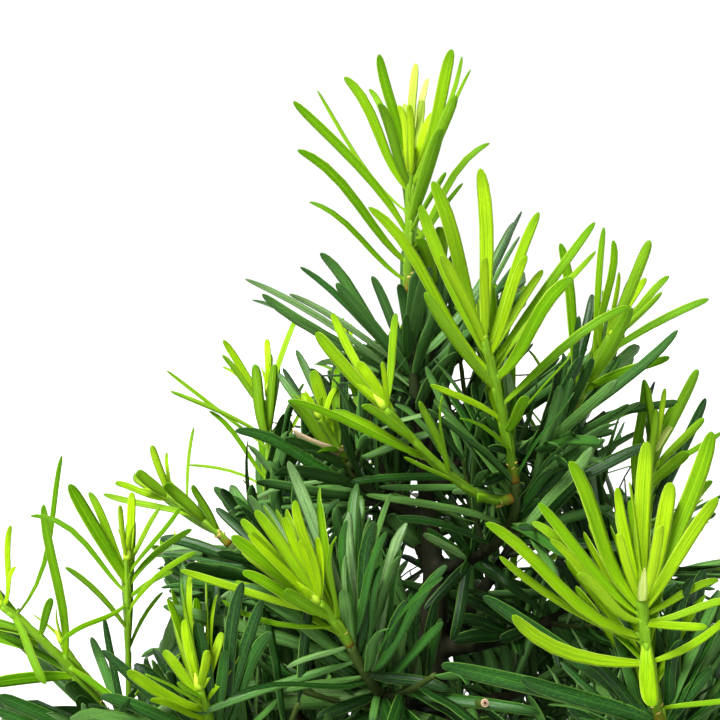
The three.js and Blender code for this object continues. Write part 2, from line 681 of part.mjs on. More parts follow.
// The first place that is clear takes the leaf; with none clear the leaf is left out
function placeLeaf(owner, places, leaves) {
  for (const leaf of places) {
    const taken = leafRods(owner, leaf);
    if (!taken.every(isClear)) continue;
    rods.push(...taken);
    leaves.push(leaf);
    return;
  }
}

function between([from, to], share) {
  return from + (to - from) * share;
}

function newLeafRules(seed) {
  const form = newLeafForm;
  const random = seeded(seed);
  const first = random() * 2 * Math.PI;
  return Array.from({ length: otherShootLeaves }, (_, k) => {
    const share = k / (otherShootLeaves - 1);
    return {
      share: between(form.shares, share),
      turn: first + k * goldenAngle,
      open: (between(form.open, share) + form.openDraw * (random() - 0.5)) * degrees,
      length: between(form.length, share) + form.lengthDraw * (random() - 0.5),
      width: between(form.width, share),
    };
  });
}

function oldLeafRules(seed, count) {
  const form = oldLeafForm;
  const random = seeded(seed);
  const first = random() * 2 * Math.PI;
  return Array.from({ length: count }, (_, k) => {
    const share = (k + 0.5) / count;
    return {
      share: between(form.shares, share),
      turn: first + k * goldenAngle,
      open: (between(form.open, share) + form.openDraw * (random() - 0.5)) * degrees,
      length: form.length + form.lengthDraw * (random() - 0.5),
      width: form.width + form.widthDraw * (random() - 0.5),
    };
  });
}

// Materials

function finish(colour, roughness) {
  return new THREE.MeshStandardMaterial({ color: colour, roughness, metalness: 0 });
}

const stoneware = finish(0x4a3128, 0.75);
const earth = finish(0x4b3a2a, 1);
const bark = finish(0x6b5a48, 0.9);
const oldLeaf = finish(0x24502c, 0.45);
const newLeaf = finish(0x73ae1e, 0.4);
const meshPlastic = finish(0x1d1f1e, 0.6);

const bonsai = new THREE.Group();

function addPiece(name, body, material) {
  const { vertProperties, triVerts } = body.getMesh();
  const geometry = new THREE.BufferGeometry();
  geometry.setAttribute('position', new THREE.BufferAttribute(vertProperties, 3));
  geometry.setIndex(new THREE.BufferAttribute(triVerts, 1));
  geometry.computeVertexNormals();
  const piece = new THREE.Mesh(geometry, material);
  piece.name = name;
  bonsai.add(piece);
}

// Pot

const wallLength = potLength / 2 - lipDepth;
const wallWidth = potWidth / 2 - lipDepth;
const innerLength = potLength / 2 - lipWidth;
const innerWidth = potWidth / 2 - lipWidth;
const innerCorner = potCorner - lipWidth;

function drainHole(side) {
  const ring = (z) => Array.from({ length: drainSides }, (_, k) => vec(
    side * drainSpacing / 2 + drainRadius * Math.cos(2 * Math.PI * k / drainSides),
    drainRadius * Math.sin(2 * Math.PI * k / drainSides),
    z,
  ));
  return skin([ring(0), ring(2 * floorHeight)]);
}

function foot(signX, signY) {
  const cornerX = wallLength - potTaper - footInset;
  const cornerY = wallWidth - potTaper - footInset;
  const top = footHeight + footSunk;
  const farX = cornerX - footLength / 2 - footThickness;
  const farY = cornerY - footLength / 2 - footThickness;
  const alongX = block(signX * farX, signY * (cornerY - footThickness / 2),
    footLength, footThickness, 0, top);
  const alongY = block(signX * (cornerX - footThickness / 2), signY * farY,
    footThickness, footLength, 0, top);
  const knee = skin([0, top].map((z) => {
    const ring = [
      vec(cornerX - footThickness - footBevel, cornerY, z),
      vec(cornerX - footThickness - footBevel, cornerY - footThickness, z),
      vec(cornerX - footThickness, cornerY - footThickness - footBevel, z),
      vec(cornerX, cornerY - footThickness - footBevel, z),
      vec(cornerX - footThickness / 3, cornerY - footThickness / 3, z),
    ].map((point) => point.multiply(vec(signX, signY, 1)));
    return signX * signY > 0 ? ring : ring.reverse();
  }));
  return Manifold.union([alongX, alongY, knee]);
}

function pot() {
  const wall = (share, z) => boxRing(
    wallLength - potTaper * share, wallWidth - potTaper * share, potCorner - lipDepth, z);
  const body = skin([
    ...wallProfile.map(([share, height]) => wall(share, height)),
    boxRing(potLength / 2, potWidth / 2, potCorner, potHeight - lipHeight + 2),
    boxRing(potLength / 2, potWidth / 2, potCorner, potHeight - lipEdge),
    boxRing(potLength / 2 - lipEdge, potWidth / 2 - lipEdge, potCorner - lipEdge, potHeight),
    boxRing(innerLength, innerWidth, innerCorner, potHeight),
    boxRing(innerLength - innerTaper, innerWidth - innerTaper, innerCorner, floorHeight),
  ]);
  const feet = [[1, 1], [-1, 1], [-1, -1], [1, -1]].map(([signX, signY]) => foot(signX, signY));
  return Manifold.union([body, ...feet])
    .subtract(drainHole(-1))
    .subtract(drainHole(1));
}

function drainScreen(side) {
  const low = floorHeight + contactGap;
  const high = low + screenThickness;
  const middle = side * drainSpacing / 2;
  const pitch = (screenSize - screenBarWidth) / (screenBars - 1);
  const bars = Array.from({ length: screenBars }, (_, k) => {
    const offset = k * pitch - (screenSize - screenBarWidth) / 2;
    return [
      block(middle + offset, 0, screenBarWidth, screenSize, low, high),
      block(middle, offset, screenSize, screenBarWidth, low, high),
    ];
  });
  return Manifold.union(bars.flat());
}

// Trunk with its roots and branches

const soilTop = potHeight - soilDepthBelowRim;

function roots(gap) {
  return Array.from({ length: rootCount }, (_, k) => {
    const random = seeded(40 + k);
    const angle = (k + 0.5 * (random() - 0.5)) * 2 * Math.PI / rootCount;
    const reach = rootReach * (0.8 + 0.4 * random());
    const out = vec(Math.cos(angle), Math.sin(angle), 0);
    const line = rootProfile.map(([share, rise]) => (
      out.clone().multiplyScalar(reach * share).setZ(soilTop + rise)));
    const steps = line.length - 1;
    const radii = line.map((_, i) => (
      rootRadius + (rootTipRadius - rootRadius) * i / steps + gap));
    line[steps].addScaledVector(out, gap);
    return tube(line, radii, rootSides);
  });
}

function trunk() {
  return tube(
    trunkLine.map(({ place }) => place), trunkLine.map(({ radius }) => radius), trunkSides);
}

// What the trunk and roots take up in the soil, a little larger than they are
function rootHole() {
  const [foot, collar] = trunkLine;
  const stump = tube(
    [foot.place.clone().setZ(foot.place.z - contactGap), collar.place, collar.place.clone().setZ(120)],
    [foot.radius + contactGap, collar.radius + contactGap, collar.radius + contactGap],
    trunkSides,
  );
  return Manifold.union([stump, ...roots(contactGap)]);
}

function soil() {
  const low = floorHeight + screenThickness + 3 * contactGap;
  const top = soilProfile.map(([share, rise]) => boxRing(
    (innerLength - soilEdgeGap) * share, (innerWidth - soilEdgeGap) * share, innerCorner * share,
    soilTop + soilMound * rise));
  const inset = innerTaper + soilFootGap;
  const body = skin([
    boxRing(innerLength - inset, innerWidth - inset, innerCorner, low),
    ...top,
  ]);
  return body.subtract(rootHole());
}

// Growth: every branch with its old leafy twig, and the new shoot on the twig's end

const wood = [trunk(), ...roots(0)];
const growths = [];

for (const [index, name] of Object.keys(seenShoots).entries()) {
  const [start, middle, end] = seenShoots[name].stem.map(sight);
  const stem = throughMiddle(start, middle, end);
  growths.push({
    name,
    seed: index + 1,
    stem,
    branch: branchTo(start, bendDirection(stem, 0), index + 1),
    shoot: seenShoots[name],
    oldSeen: seenOldLeaves[name] ?? [],
  });
}

// A shoot by rule points steeper the higher it stands, and turns up towards its end
for (const [index, { name, angle, height, reach }] of otherBranches.entries()) {
  const out = vec(Math.cos(angle * degrees), Math.sin(angle * degrees), 0);
  const rise = (height - lowestTwigEnd) / (highestTwigEnd - lowestTwigEnd);
  const climb = lowClimb + (highClimb - lowClimb) * rise;
  const aim = out.clone().multiplyScalar(Math.cos(climb)).addScaledVector(up, Math.sin(climb));
  const start = out.clone().multiplyScalar(reach).setZ(height);
  const pull = start.clone().addScaledVector(aim, otherShootLength * 0.5);
  const end = pull.clone().addScaledVector(aim.clone().add(up).normalize(), otherShootLength * 0.5);
  const seed = index + 31;
  growths.push({
    name,
    seed,
    stem: { start, pull, end },
    branch: branchTo(start, aim, seed),
    shoot: null,
    oldSeen: [],
  });
}

// Side shoot, from the skin of the centre twig
const centre = growths.find(({ name }) => name === 'centre');
const [lateralMiddle, lateralEnd] = lateral.stem.map(sight);
const lateralFrom = bend(centre.branch, centre.branch.leafyFrom
  + (1 - centre.branch.leafyFrom) * lateral.onTwig);
const lateralAim = lateralMiddle.clone().sub(lateralFrom);
const twigAim = bendDirection(centre.branch, 1);
lateralAim.addScaledVector(twigAim, -lateralAim.dot(twigAim)).normalize();
const lateralStart = lateralFrom.clone().addScaledVector(lateralAim, twigRadius + contactGap);
const lateralStem = {
  start: lateralStart,
  pull: lateralStart.clone().addScaledVector(lateralAim, 0.45 * lateralStart.distanceTo(lateralMiddle)),
  end: lateralEnd,
};

// Wood, twigs and stems come first, so that all leaves keep clear of them
const limbForm = {
  from: 0, steps: limbSteps, endRadius: twigRadius, sides: limbSides,
};
const twigForm = {
  steps: twigSteps, radius: twigRadius, endRadius: twigTipRadius, sides: stemSides,
};
const shootForm = {
  from: 0,
  to: 1,
  steps: shootSteps,
  radius: shootRadius,
  endRadius: shootTipRadius,
  sides: stemSides,
  bud: budLength,
};

rods.push(...stemRods(
  'wood', trunkLine.map(({ place }) => place), trunkLine.map(({ radius }) => radius)));
for (const growth of growths) {
  const { name, branch, stem } = growth;
  const { leafyFrom } = branch;
  const step = contactGap / branch.length;
  wood.push(bentTube('wood', branch, { ...limbForm, radius: branch.radius, to: leafyFrom - step }));
  growth.twig = bentTube(`old_${name}`, branch, { ...twigForm, from: leafyFrom, to: 1 - step });
  growth.bud = bentTube(`new_${name}`, stem, shootForm);
}
const lateralBud = bentTube('new_lateral', lateralStem, shootForm);

addPiece('pot', pot(), stoneware);
addPiece('drain_screen_left', drainScreen(-1), meshPlastic);
addPiece('drain_screen_right', drainScreen(1), meshPlastic);
addPiece('soil', soil(), earth);
addPiece('trunk_and_branches', fuse(wood), bark);

// New shoots that were read from the view come before the rest
function seenShootLeaves(owner, stem, shoot) {
  const depth = shoot.stem[shoot.stem.length - 1][2];
  const leaves = [];
  for (const leaf of shoot.leaves) {
    placeLeaf(owner, seenLeafPlaces(stem, 0, leaf, depth), leaves);
  }
  return leaves;
}

for (const growth of growths.filter(({ shoot }) => shoot)) {
  growth.newLeaves = seenShootLeaves(`new_${growth.name}`, growth.stem, growth.shoot);
}
const lateralLeaves = seenShootLeaves('new_lateral', lateralStem, lateral);

for (const growth of growths) {
  const owner = `old_${growth.name}`;
  growth.oldLeaves = [];
  const depth = growth.shoot ? growth.shoot.stem[0][2] : 0;
  const from = growth.branch.leafyFrom;
  for (const leaf of growth.oldSeen) {
    placeLeaf(owner, seenLeafPlaces(growth.branch, from, leaf, depth), growth.oldLeaves);
  }
}

for (const growth of growths.filter(({ shoot }) => !shoot)) {
  growth.newLeaves = [];
  for (const rule of newLeafRules(growth.seed)) {
    placeLeaf(`new_${growth.name}`, ruledLeafPlaces(growth.stem, 0, rule), growth.newLeaves);
  }
}

for (const growth of growths) {
  const count = Math.max(oldTwigLeaves - growth.oldSeen.length, 3);
  for (const rule of oldLeafRules(growth.seed + 100, count)) {
    placeLeaf(`old_${growth.name}`, ruledLeafPlaces(growth.branch, growth.branch.leafyFrom, rule),
      growth.oldLeaves);
  }
}

for (const { name, twig, oldLeaves, bud, newLeaves } of growths) {
  addPiece(`old_twig_${name}`, fuse([twig, ...oldLeaves.map(blade)]), oldLeaf);
  addPiece(`new_shoot_${name}`, fuse([bud, ...newLeaves.map(blade)]), newLeaf);
}
addPiece('new_shoot_lateral', fuse([lateralBud, ...lateralLeaves.map(blade)]), newLeaf);

export default bonsai;
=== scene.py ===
# Looks of the buddhist pine bonsai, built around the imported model. The growth is laid out in
# millimetres, as in the part's source, and Blender's meshes are in metres.

import math
import random
from itertools import product

import bpy
import numpy as np
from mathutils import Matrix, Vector, noise
from mathutils.kdtree import KDTree


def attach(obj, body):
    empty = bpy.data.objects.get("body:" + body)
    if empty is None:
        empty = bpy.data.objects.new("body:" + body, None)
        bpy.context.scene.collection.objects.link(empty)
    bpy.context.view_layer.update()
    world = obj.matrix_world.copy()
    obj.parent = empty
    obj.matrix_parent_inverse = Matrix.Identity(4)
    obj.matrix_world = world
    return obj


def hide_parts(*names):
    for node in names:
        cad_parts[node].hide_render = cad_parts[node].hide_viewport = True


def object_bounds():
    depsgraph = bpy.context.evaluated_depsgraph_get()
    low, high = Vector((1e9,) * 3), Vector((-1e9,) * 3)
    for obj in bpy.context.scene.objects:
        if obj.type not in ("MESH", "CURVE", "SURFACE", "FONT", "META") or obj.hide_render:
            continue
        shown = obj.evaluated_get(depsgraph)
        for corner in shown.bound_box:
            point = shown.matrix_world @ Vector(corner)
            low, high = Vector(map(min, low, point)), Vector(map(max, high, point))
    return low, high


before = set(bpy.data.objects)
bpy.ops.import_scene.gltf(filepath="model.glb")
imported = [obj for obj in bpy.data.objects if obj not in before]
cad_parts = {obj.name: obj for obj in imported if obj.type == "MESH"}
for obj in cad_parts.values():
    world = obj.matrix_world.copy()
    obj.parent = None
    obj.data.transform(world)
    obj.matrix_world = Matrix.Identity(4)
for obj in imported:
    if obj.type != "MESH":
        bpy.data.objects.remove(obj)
cad_low, cad_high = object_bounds()

MM = 0.001
UP = Vector((0, 0, 1))
FULL_TURN = 2 * math.pi
UPRIGHT = 0.9

# The view that the near shoots are placed by, as in the part's source. A pixel and a depth give
# a place, and depth is behind the upright plane through the middle of the crown.
VIEW_MIDDLE = 360
VIEW_SCALE = 0.4
VIEW_DISTANCE = 600
VIEW_TILT = math.radians(5)
VIEW_TARGET = Vector((-28, 0, 381))
VIEW_FORWARD = Vector((0, math.cos(VIEW_TILT), -math.sin(VIEW_TILT)))
VIEW_UP = Vector((0, math.sin(VIEW_TILT), math.cos(VIEW_TILT)))
VIEW_SIDE = Vector((1, 0, 0))
PIXEL_REACH = VIEW_SCALE / VIEW_DISTANCE
SENSOR_WIDTH = 36
NEAREST_SHOWN = 0.01
FARTHEST_SHOWN = 50


def sight(px, py, depth):
    reach = VIEW_DISTANCE + depth
    return (
        VIEW_TARGET
        + VIEW_FORWARD * depth
        + VIEW_SIDE * ((px - VIEW_MIDDLE) * PIXEL_REACH * reach)
        + VIEW_UP * ((VIEW_MIDDLE - py) * PIXEL_REACH * reach)
    )


def seen_at(point):
    """Pixel and depth of a place."""
    away = Vector(point) - VIEW_TARGET
    depth = away.dot(VIEW_FORWARD)
    reach = (VIEW_DISTANCE + depth) * PIXEL_REACH
    px = VIEW_MIDDLE + away.dot(VIEW_SIDE) / reach
    py = VIEW_MIDDLE - away.dot(VIEW_UP) / reach
    return px, py, depth


def linked(name, data):
    """A new object of the scene, made of a mesh, a light or a camera."""
    made = bpy.data.objects.new(name, data)
    bpy.context.scene.collection.objects.link(made)
    return made


def add_camera():
    data = bpy.data.cameras.new("camera")
    data.sensor_width = SENSOR_WIDTH
    data.lens = SENSOR_WIDTH / (PIXEL_REACH * 2 * VIEW_MIDDLE)
    data.clip_start = NEAREST_SHOWN
    data.clip_end = FARTHEST_SHOWN
    camera = linked("camera", data)
    camera.location = (VIEW_TARGET - VIEW_FORWARD * VIEW_DISTANCE) * MM
    camera.rotation_euler = (math.pi / 2 - VIEW_TILT, 0, 0)
    bpy.context.scene.camera = camera


add_camera()

# Growth, repeated from the part's source

GOLDEN_ANGLE = math.radians(137.5)
TRUNK_LINE = [
    (0, 0, 56, 21), (0, 0, 84, 21.5), (3, 1, 102, 17), (9, 3, 132, 14.5), (10, 2, 164, 12.5),
    (5, -1, 198, 10.2), (0, -2, 234, 7.6), (2, 0, 272, 5.4), (1, 1, 308, 3.9), (-3, 0, 338, 2.8),
]
FIRST_BRANCH_HEIGHT = 158
HIGHEST_BRANCH_HEIGHT = 330
BRANCH_SLOPES = [0.5, 0.2, 0.65, 0.35]
TWIG_LENGTH = 50
TWIG_SHARE = 0.62
LIMB_RADIUS = 4.2
LIMB_SHARE = 0.72
BRANCH_DROP = 8
BRANCH_PULL = 0.4
LEAF_BOW = 0.04
TWIG_RADIUS = 2.2
TWIG_TIP_RADIUS = 1.8
SHOOT_RADIUS = 1.7
SHOOT_TIP_RADIUS = 1.1
BUD_LENGTH = 7
CONTACT_GAP = 0.3
OTHER_SHOOT_LENGTH = 30
OTHER_SHOOT_LEAVES = 9
OTHER_SEED = 31
OLD_TWIG_LEAVES = 8
LOWEST_TWIG_END = 206
HIGHEST_TWIG_END = 390
LOW_CLIMB = math.radians(28)
HIGH_CLIMB = math.radians(72)

# Shoots read from the view. A stem is its start, middle and end as (px, py, depth). A leaf is
# (tip px, tip py, share of the stem below it, width, depth of the tip past its stem, bow), where
# bow is how far it arches towards the end of the stem, as a share of its length.
SEEN_SHOOTS = {
    "leader": ([(409, 292, 0), (409, 235, -2), (411, 174, -4)], [
        (293, 101, 0.47, 3.9, -4, 0.045), (317, 90, 0.68, 1.8, 22, -0.05),
        (297, 150, 0.25, 4.1, -14, 0.03), (309, 202, 0.09, 2.5, 8, 0.03),
        (344, 77, 0.86, 4.2, 6, 0.01), (369, 89, 0.98, 2.8, 16, 0), (379, 54, 0.98, 4.2, -4, 0),
        (379, 103, 0.9, 4.2, -18, 0), (416, 63, 1, 3.5, 1, 0), (428, 78, 1, 2.8, 10, 0.01),
        (397, 106, 0.99, 2.6, -2, 0), (409, 104, 0.96, 3, -14, 0), (452, 49, 0.97, 5, -6, -0.05),
        (462, 56, 0.93, 2, 18, -0.04), (471, 69, 0.9, 1.6, 24, -0.03),
        (456, 95, 0.88, 4.5, -16, -0.01), (441, 128, 0.59, 5.2, -22, -0.03),
        (490, 143, 0.36, 3, 4, 0.05), (463, 183, 0.26, 1.9, 16, 0.03),
        (446, 172, 0.5, 2.2, -24, 0),
    ]),
    "centre": ([(515, 482, -45), (503, 418, -53), (484, 340, -64)], [
        (368, 207, 0.8, 4, -6, 0), (432, 181, 0.97, 5.2, -14, -0.01), (420, 205, 0.9, 4.6, 8, 0),
        (480, 168, 1, 5.2, -2, -0.02), (489, 222, 0.98, 3, 10, -0.03),
        (539, 212, 0.95, 3.8, 4, -0.01), (441, 254, 0.94, 4, -22, 0),
        (527, 255, 0.9, 3.4, -14, 0), (425, 292, 0.68, 4.2, -20, -0.03),
        (485, 257, 1, 3.3, -12, 0), (573, 278, 0.76, 5.2, -12, 0.01),
        (543, 270, 0.9, 3.1, 12, 0.02), (595, 222, 0.84, 3.5, 26, 0.01),
        (596, 251, 0.78, 2.3, 18, 0.04), (527, 396, 0.4, 4.2, -12, -0.03),
        (430, 385, 0.46, 2.5, 4, 0.05), (630, 306, 0.58, 3.5, 10, 0.06),
    ]),
    "right": ([(573, 410, -15), (590, 375, -18), (610, 336, -21)], [
        (560, 243, 0.22, 4.3, 6, 0.01), (604, 227, 0.6, 2.7, 10, 0),
        (613, 240, 0.8, 3.2, -3, -0.01), (619, 272, 0.9, 2.1, 6, 0), (650, 240, 0.92, 4.3, -8, 0),
        (646, 278, 1, 3.1, 10, -0.02), (669, 276, 0.85, 3, 2, 0.02), (662, 292, 0.8, 2.6, -10, 0),
        (709, 299, 0.7, 3.3, -4, 0.03), (670, 357, 0.2, 3.5, -12, 0.05),
        (631, 307, 0.4, 5, -18, -0.08),
    ]),
    "far_right": ([(640, 530, 2), (648, 490, 5), (656, 448, 8)], [
        (644, 379, 0.3, 4.4, 6, -0.06), (656, 409, 0.63, 3.1, -8, -0.02),
        (665, 388, 0.85, 2.4, 2, -0.02), (671, 427, 0.95, 2.7, -10, 0),
        (698, 369, 0.9, 4.8, -2, 0), (704, 418, 0.7, 3.5, -12, 0.02),
        (688, 452, 0.5, 4.8, -16, 0.04), (722, 432, 0.56, 2.5, 4, 0.03),
    ]),
    "near_right": ([(662, 728, -114), (648, 655, -121), (642, 602, -126)], [
        (569, 461, 0.93, 5.5, -4, -0.04), (647, 441, 0.97, 5.3, 8, 0),
        (712, 431, 0.93, 5.7, 8, -0.03), (671, 482, 0.97, 5.3, 2, -0.03),
        (617, 487, 0.95, 3.1, -4, -0.02), (618, 533, 0.98, 3, -16, -0.03),
        (661, 525, 0.98, 3.5, -14, -0.02), (718, 497, 0.9, 4.3, -8, 0),
        (538, 503, 0.85, 3.8, 4, -0.03), (531, 522, 0.8, 3.4, 14, -0.02),
        (550, 540, 0.78, 3.1, -14, -0.04), (485, 523, 0.66, 4.5, -2, -0.06),
        (499, 556, 0.6, 2.7, 10, -0.05), (512, 615, 0.44, 4.4, -10, -0.11),
        (577, 574, 0.8, 3.5, -20, -0.04), (707, 627, 0.76, 2.7, -14, 0),
        (719, 580, 0.86, 2.5, 6, 0.02), (735, 600, 0.8, 2.5, -2, 0),
        (728, 617, 0.45, 2.7, -6, -0.08), (651, 707, 0.62, 5.8, -18, -0.1),
        (738, 699, 0.12, 1.8, -4, 0), (645, 567, 0.99, 3.2, -22, 0),
    ]),
    "left_back": ([(266, 500, 50), (269, 450, 55), (268, 395, 60)], [
        (223, 340, 0.86, 3.6, 4, 0), (222, 355, 0.84, 2.8, -8, 0), (267, 339, 1, 3, 6, 0),
        (255, 364, 0.57, 5.2, -8, -0.05), (275, 364, 0.67, 4, -4, -0.03),
        (297, 317, 0.95, 3, 12, 0.02), (166, 370, 0.51, 1.8, 4, 0),
        (170, 391, 0.6, 2.1, -8, 0.03), (222, 367, 0.93, 1.7, 14, 0.02),
        (209, 411, 0.2, 2.3, -4, 0.04), (293, 415, 0.65, 1.9, 6, 0.04),
        (188, 465, 0.1, 1.6, 6, 0.08),
    ]),
    "left_bright": ([(350, 645, -94), (337, 624, -98), (318, 603, -105)], [
        (255, 510, 1, 3.8, -4, 0), (241, 519, 0.96, 3.8, 6, 0), (231, 536, 0.85, 4.8, -8, 0),
        (284, 517, 1, 3.3, 2, -0.02), (295, 500, 1, 3.4, -6, -0.03),
        (300, 540, 0.98, 2.5, -14, -0.02), (317, 537, 0.95, 2.6, -4, -0.03),
        (242, 572, 0.7, 3.7, -8, 0), (180, 570, 0.72, 2.7, 8, -0.03),
        (222, 600, 0.45, 1.8, 2, -0.12), (284, 591, 0.6, 4, -16, 0),
    ]),
    "upper_left": ([(230, 545, -10), (200, 518, -8), (168, 496, -4)], [
        (152, 445, 1, 3.1, -4, -0.02), (167, 452, 0.98, 1.8, 6, 0), (137, 471, 0.98, 4.2, -8, 0),
        (115, 483, 0.95, 2.7, 0, -0.02), (103, 494, 0.5, 2.9, 8, 0),
        (165, 484, 0.42, 4.6, -16, 0), (194, 427, 0.7, 1.5, 12, 0.03),
        (192, 485, 0.22, 3, -12, -0.02),
    ]),
    "left_upright": ([(130, 732, -62), (128, 645, -65), (127, 560, -68)], [
        (69, 484, 0.86, 5, -6, 0), (89, 492, 0.92, 3, 6, 0.02), (132, 492, 1, 3.1, 2, -0.02),
        (120, 505, 1, 2, -8, 0), (30, 516, 0.8, 2.1, 10, 0.1), (65, 567, 0.58, 2.6, -10, 0.05),
        (160, 508, 0.97, 1.9, 8, 0), (181, 506, 0.9, 1.9, -4, 0), (192, 529, 0.82, 2.5, 2, 0.08),
        (196, 552, 0.68, 2.1, -12, 0.08), (62, 642, 0.75, 2.1, -12, 0),
        (173, 572, 0.77, 2.1, -8, 0.05), (163, 592, 0.45, 1.5, 4, 0.1),
    ]),
    "far_left": ([(112, 722, -30), (62, 660, -34), (2, 606, -38)], [
        (62, 455, 0.9, 2.2, 4, -0.07), (44, 504, 0.48, 4.6, -10, -0.02),
        (52, 598, 0.7, 3.4, -6, 0), (11, 525, 0.98, 2.4, -4, 0), (16, 567, 1, 2.4, -10, 0),
        (-34, 522, 0.98, 3.4, 4, 0.02), (-58, 566, 0.92, 3.4, -6, 0.03),
        (-50, 612, 0.74, 3.4, 8, 0.03), (-12, 684, 0.36, 4.6, -8, 0.03),
        (46, 684, 0.95, 3.2, -14, 0), (126, 710, 0.44, 2.9, -16, 0),
    ]),
    "lower_left": ([(218, 738, -94), (208, 714, -98), (200, 690, -102)], [
        (185, 619, 1, 4, -4, -0.02), (207, 650, 1, 3.2, -12, -0.03), (163, 651, 0.9, 3.6, 2, 0),
        (127, 671, 0.6, 3.9, -8, -0.06), (222, 632, 0.98, 3.2, 8, -0.03),
        (240, 650, 0.7, 2, 2, -0.03), (150, 700, 0.4, 2.2, -12, 0), (178, 682, 0.8, 2, -18, 0),
    ]),
    "left_centre": ([(345, 462, -4), (332, 438, -8), (320, 418, -12)], [
        (288, 400, 0.15, 5, -8, -0.02), (313, 370, 0.5, 5, 4, -0.02),
        (322, 397, 0.9, 1.8, -14, 0), (336, 388, 0.95, 2.4, 8, 0), (302, 393, 0.98, 2.6, -2, 0),
    ]),
}

# How young and pale a read leaf still is, by its tip. The other read leaves are full green.
PALE_LEAVES = {
    (416, 63): 0.8, (428, 78): 0.85, (397, 106): 0.95, (409, 104): 0.6, (369, 89): 0.25,
    (485, 257): 0.5, (489, 222): 0.4, (539, 212): 0.25, (441, 254): 0.35, (527, 255): 0.15,
    (618, 533): 0.7, (661, 525): 0.6, (645, 567): 1, (617, 487): 0.35, (577, 574): 0.3,
    (646, 278): 0.4, (619, 272): 0.3, (671, 427): 0.9, (665, 388): 0.3, (267, 339): 0.5,
    (297, 317): 0.2, (222, 367): 0.3, (317, 537): 0.5, (300, 540): 0.5, (284, 517): 0.3,
    (295, 500): 0.15, (152, 445): 0.35, (167, 452): 0.3, (115, 483): 0.2, (132, 492): 0.5,
    (120, 505): 0.4, (11, 525): 0.45, (16, 567): 0.5, (185, 619): 0.3, (207, 650): 0.45,
    (222, 632): 0.3, (322, 397): 0.5, (336, 388): 0.4, (302, 393): 0.3, (358, 362): 0.3,
    (382, 362): 0.6,
}

# Young leaves of the leader's heart beside those of the source: tip px, tip py, lean in depth,
# width mm, youth
HEART_LEAVES = [
    (398, 105, -4, 3.2, 0.72), (404, 103, 2, 3, 0.85), (434, 112, 3, 3, 0.62),
    (423, 100, 7, 3, 0.8), (388, 124, 4, 2.8, 0.5), (411, 118, -8, 3.2, 0.55),
]

# A side shoot of the centre shoot's old twig: its middle and end, and its leaves
LATERAL_ON_TWIG = 0.84
LATERAL_PULL = 0.45
LATERAL_STEM = [(440, 455, -66), (385, 408, -78)]
LATERAL_LEAVES = [
    (316, 332, 0.98, 4.5, -4, 0), (358, 362, 0.95, 4.2, 2, 0), (396, 313, 1, 2.8, 8, -0.02),
    (382, 362, 0.98, 2.3, -10, 0), (419, 401, 0.6, 3.1, -10, -0.04), (288, 400, 0.72, 2.7, -8, 0),
    (332, 313, 1, 3.2, 10, 0.08), (404, 457, 0.5, 1.7, -6, 0),
]

# Old dark leaves read from the view, by the twig that bears them, in the same form
SEEN_OLD_LEAVES = {
    "leader": [
        (245, 279, 0.1, 2.7, -12, 0.045), (252, 300, 0.08, 2.2, 14, 0),
        (262, 294, 0.16, 4.3, -2, -0.02), (289, 294, 0.24, 2.7, -20, 0.03),
        (300, 267, 0.26, 2.8, 6, 0.02), (320, 253, 0.3, 4.6, 0, -0.02),
        (336, 283, 0.2, 4.8, -22, 0), (372, 276, 0.36, 4.2, -10, -0.03),
        (399, 284, 0.44, 4.2, -16, -0.03), (514, 222, 0.34, 4.6, 22, -0.06),
        (522, 211, 0.22, 2.3, 14, -0.06), (520, 236, 0.14, 2.1, 8, -0.05),
        (516, 263, 0.1, 2.3, 0, -0.04),
    ],
    "right": [
        (592, 294, 0.86, 4.4, 6, -0.03), (678, 330, 0.3, 4.2, -16, 0),
        (629, 404, 0.2, 2.6, -24, 0.02), (593, 358, 0.8, 3.8, -12, 0),
        (557, 367, 0.5, 5.4, -4, 0), (640, 402, 0.14, 2.8, 10, 0),
    ],
    "far_right": [(655, 381, 0.7, 3.4, 16, -0.04), (706, 398, 0.72, 4.8, 14, 0)],
    "left_back": [(214, 487, 0.4, 4.6, -6, 0), (216, 508, 0.2, 4.6, 4, 0)],
    "upper_left": [
        (160, 539, 0.8, 4.4, 4, 0.02), (163, 554, 0.66, 1.9, 12, 0.02),
        (185, 582, 0.5, 3.6, -8, -0.03), (161, 588, 0.4, 2.2, 6, 0),
    ],
    "far_left": [(38, 643, 0.85, 5, 20, 0.02), (-14, 699, 0.8, 4.4, 6, 0)],
    "left_centre": [
        (235, 431, 0.4, 5.6, -12, 0.02), (256, 482, 0.2, 4, -18, -0.03),
        (278, 373, 0.7, 3.6, 4, 0), (283, 368, 0.62, 3, 14, 0.02), (296, 350, 0.78, 3.8, 16, 0),
    ],
    "left_bright": [(288, 461, 0.74, 4.8, -8, 0), (163, 606, 0.8, 4.4, 8, 0)],
    "left_upright": [(104, 617, 0.72, 2.7, 10, 0), (91, 637, 0.75, 3.8, 20, 0)],
    "lower_left": [(102, 650, 0.7, 3.9, 10, 0), (153, 648, 0.3, 4.2, 26, 0)],
}

# The other branches: compass angle, height and distance from the trunk of the twig's end
OTHER_BRANCHES = {
    "top_back": (80, 390, 26),
    "high_back_left": (118, 350, 58),
    "high_back_right": (62, 356, 56),
    "middle_back_right": (50, 324, 84),
    "middle_back": (97, 330, 80),
    "low_right": (2, 256, 132.15),
    "low_back_right": (36, 266, 118),
    "low_back": (70, 256, 127.4),
    "low_back_left": (106, 266, 120),
    "low_left_back": (140, 254, 126),
    "low_left": (176, 240, 132.45),
    "low_front": (-86, 206, 110),
    "low_front_right": (-28, 238, 126),
    "base_back_right": (54, 214, 106),
    "base_back_left": (124, 214, 108),
}

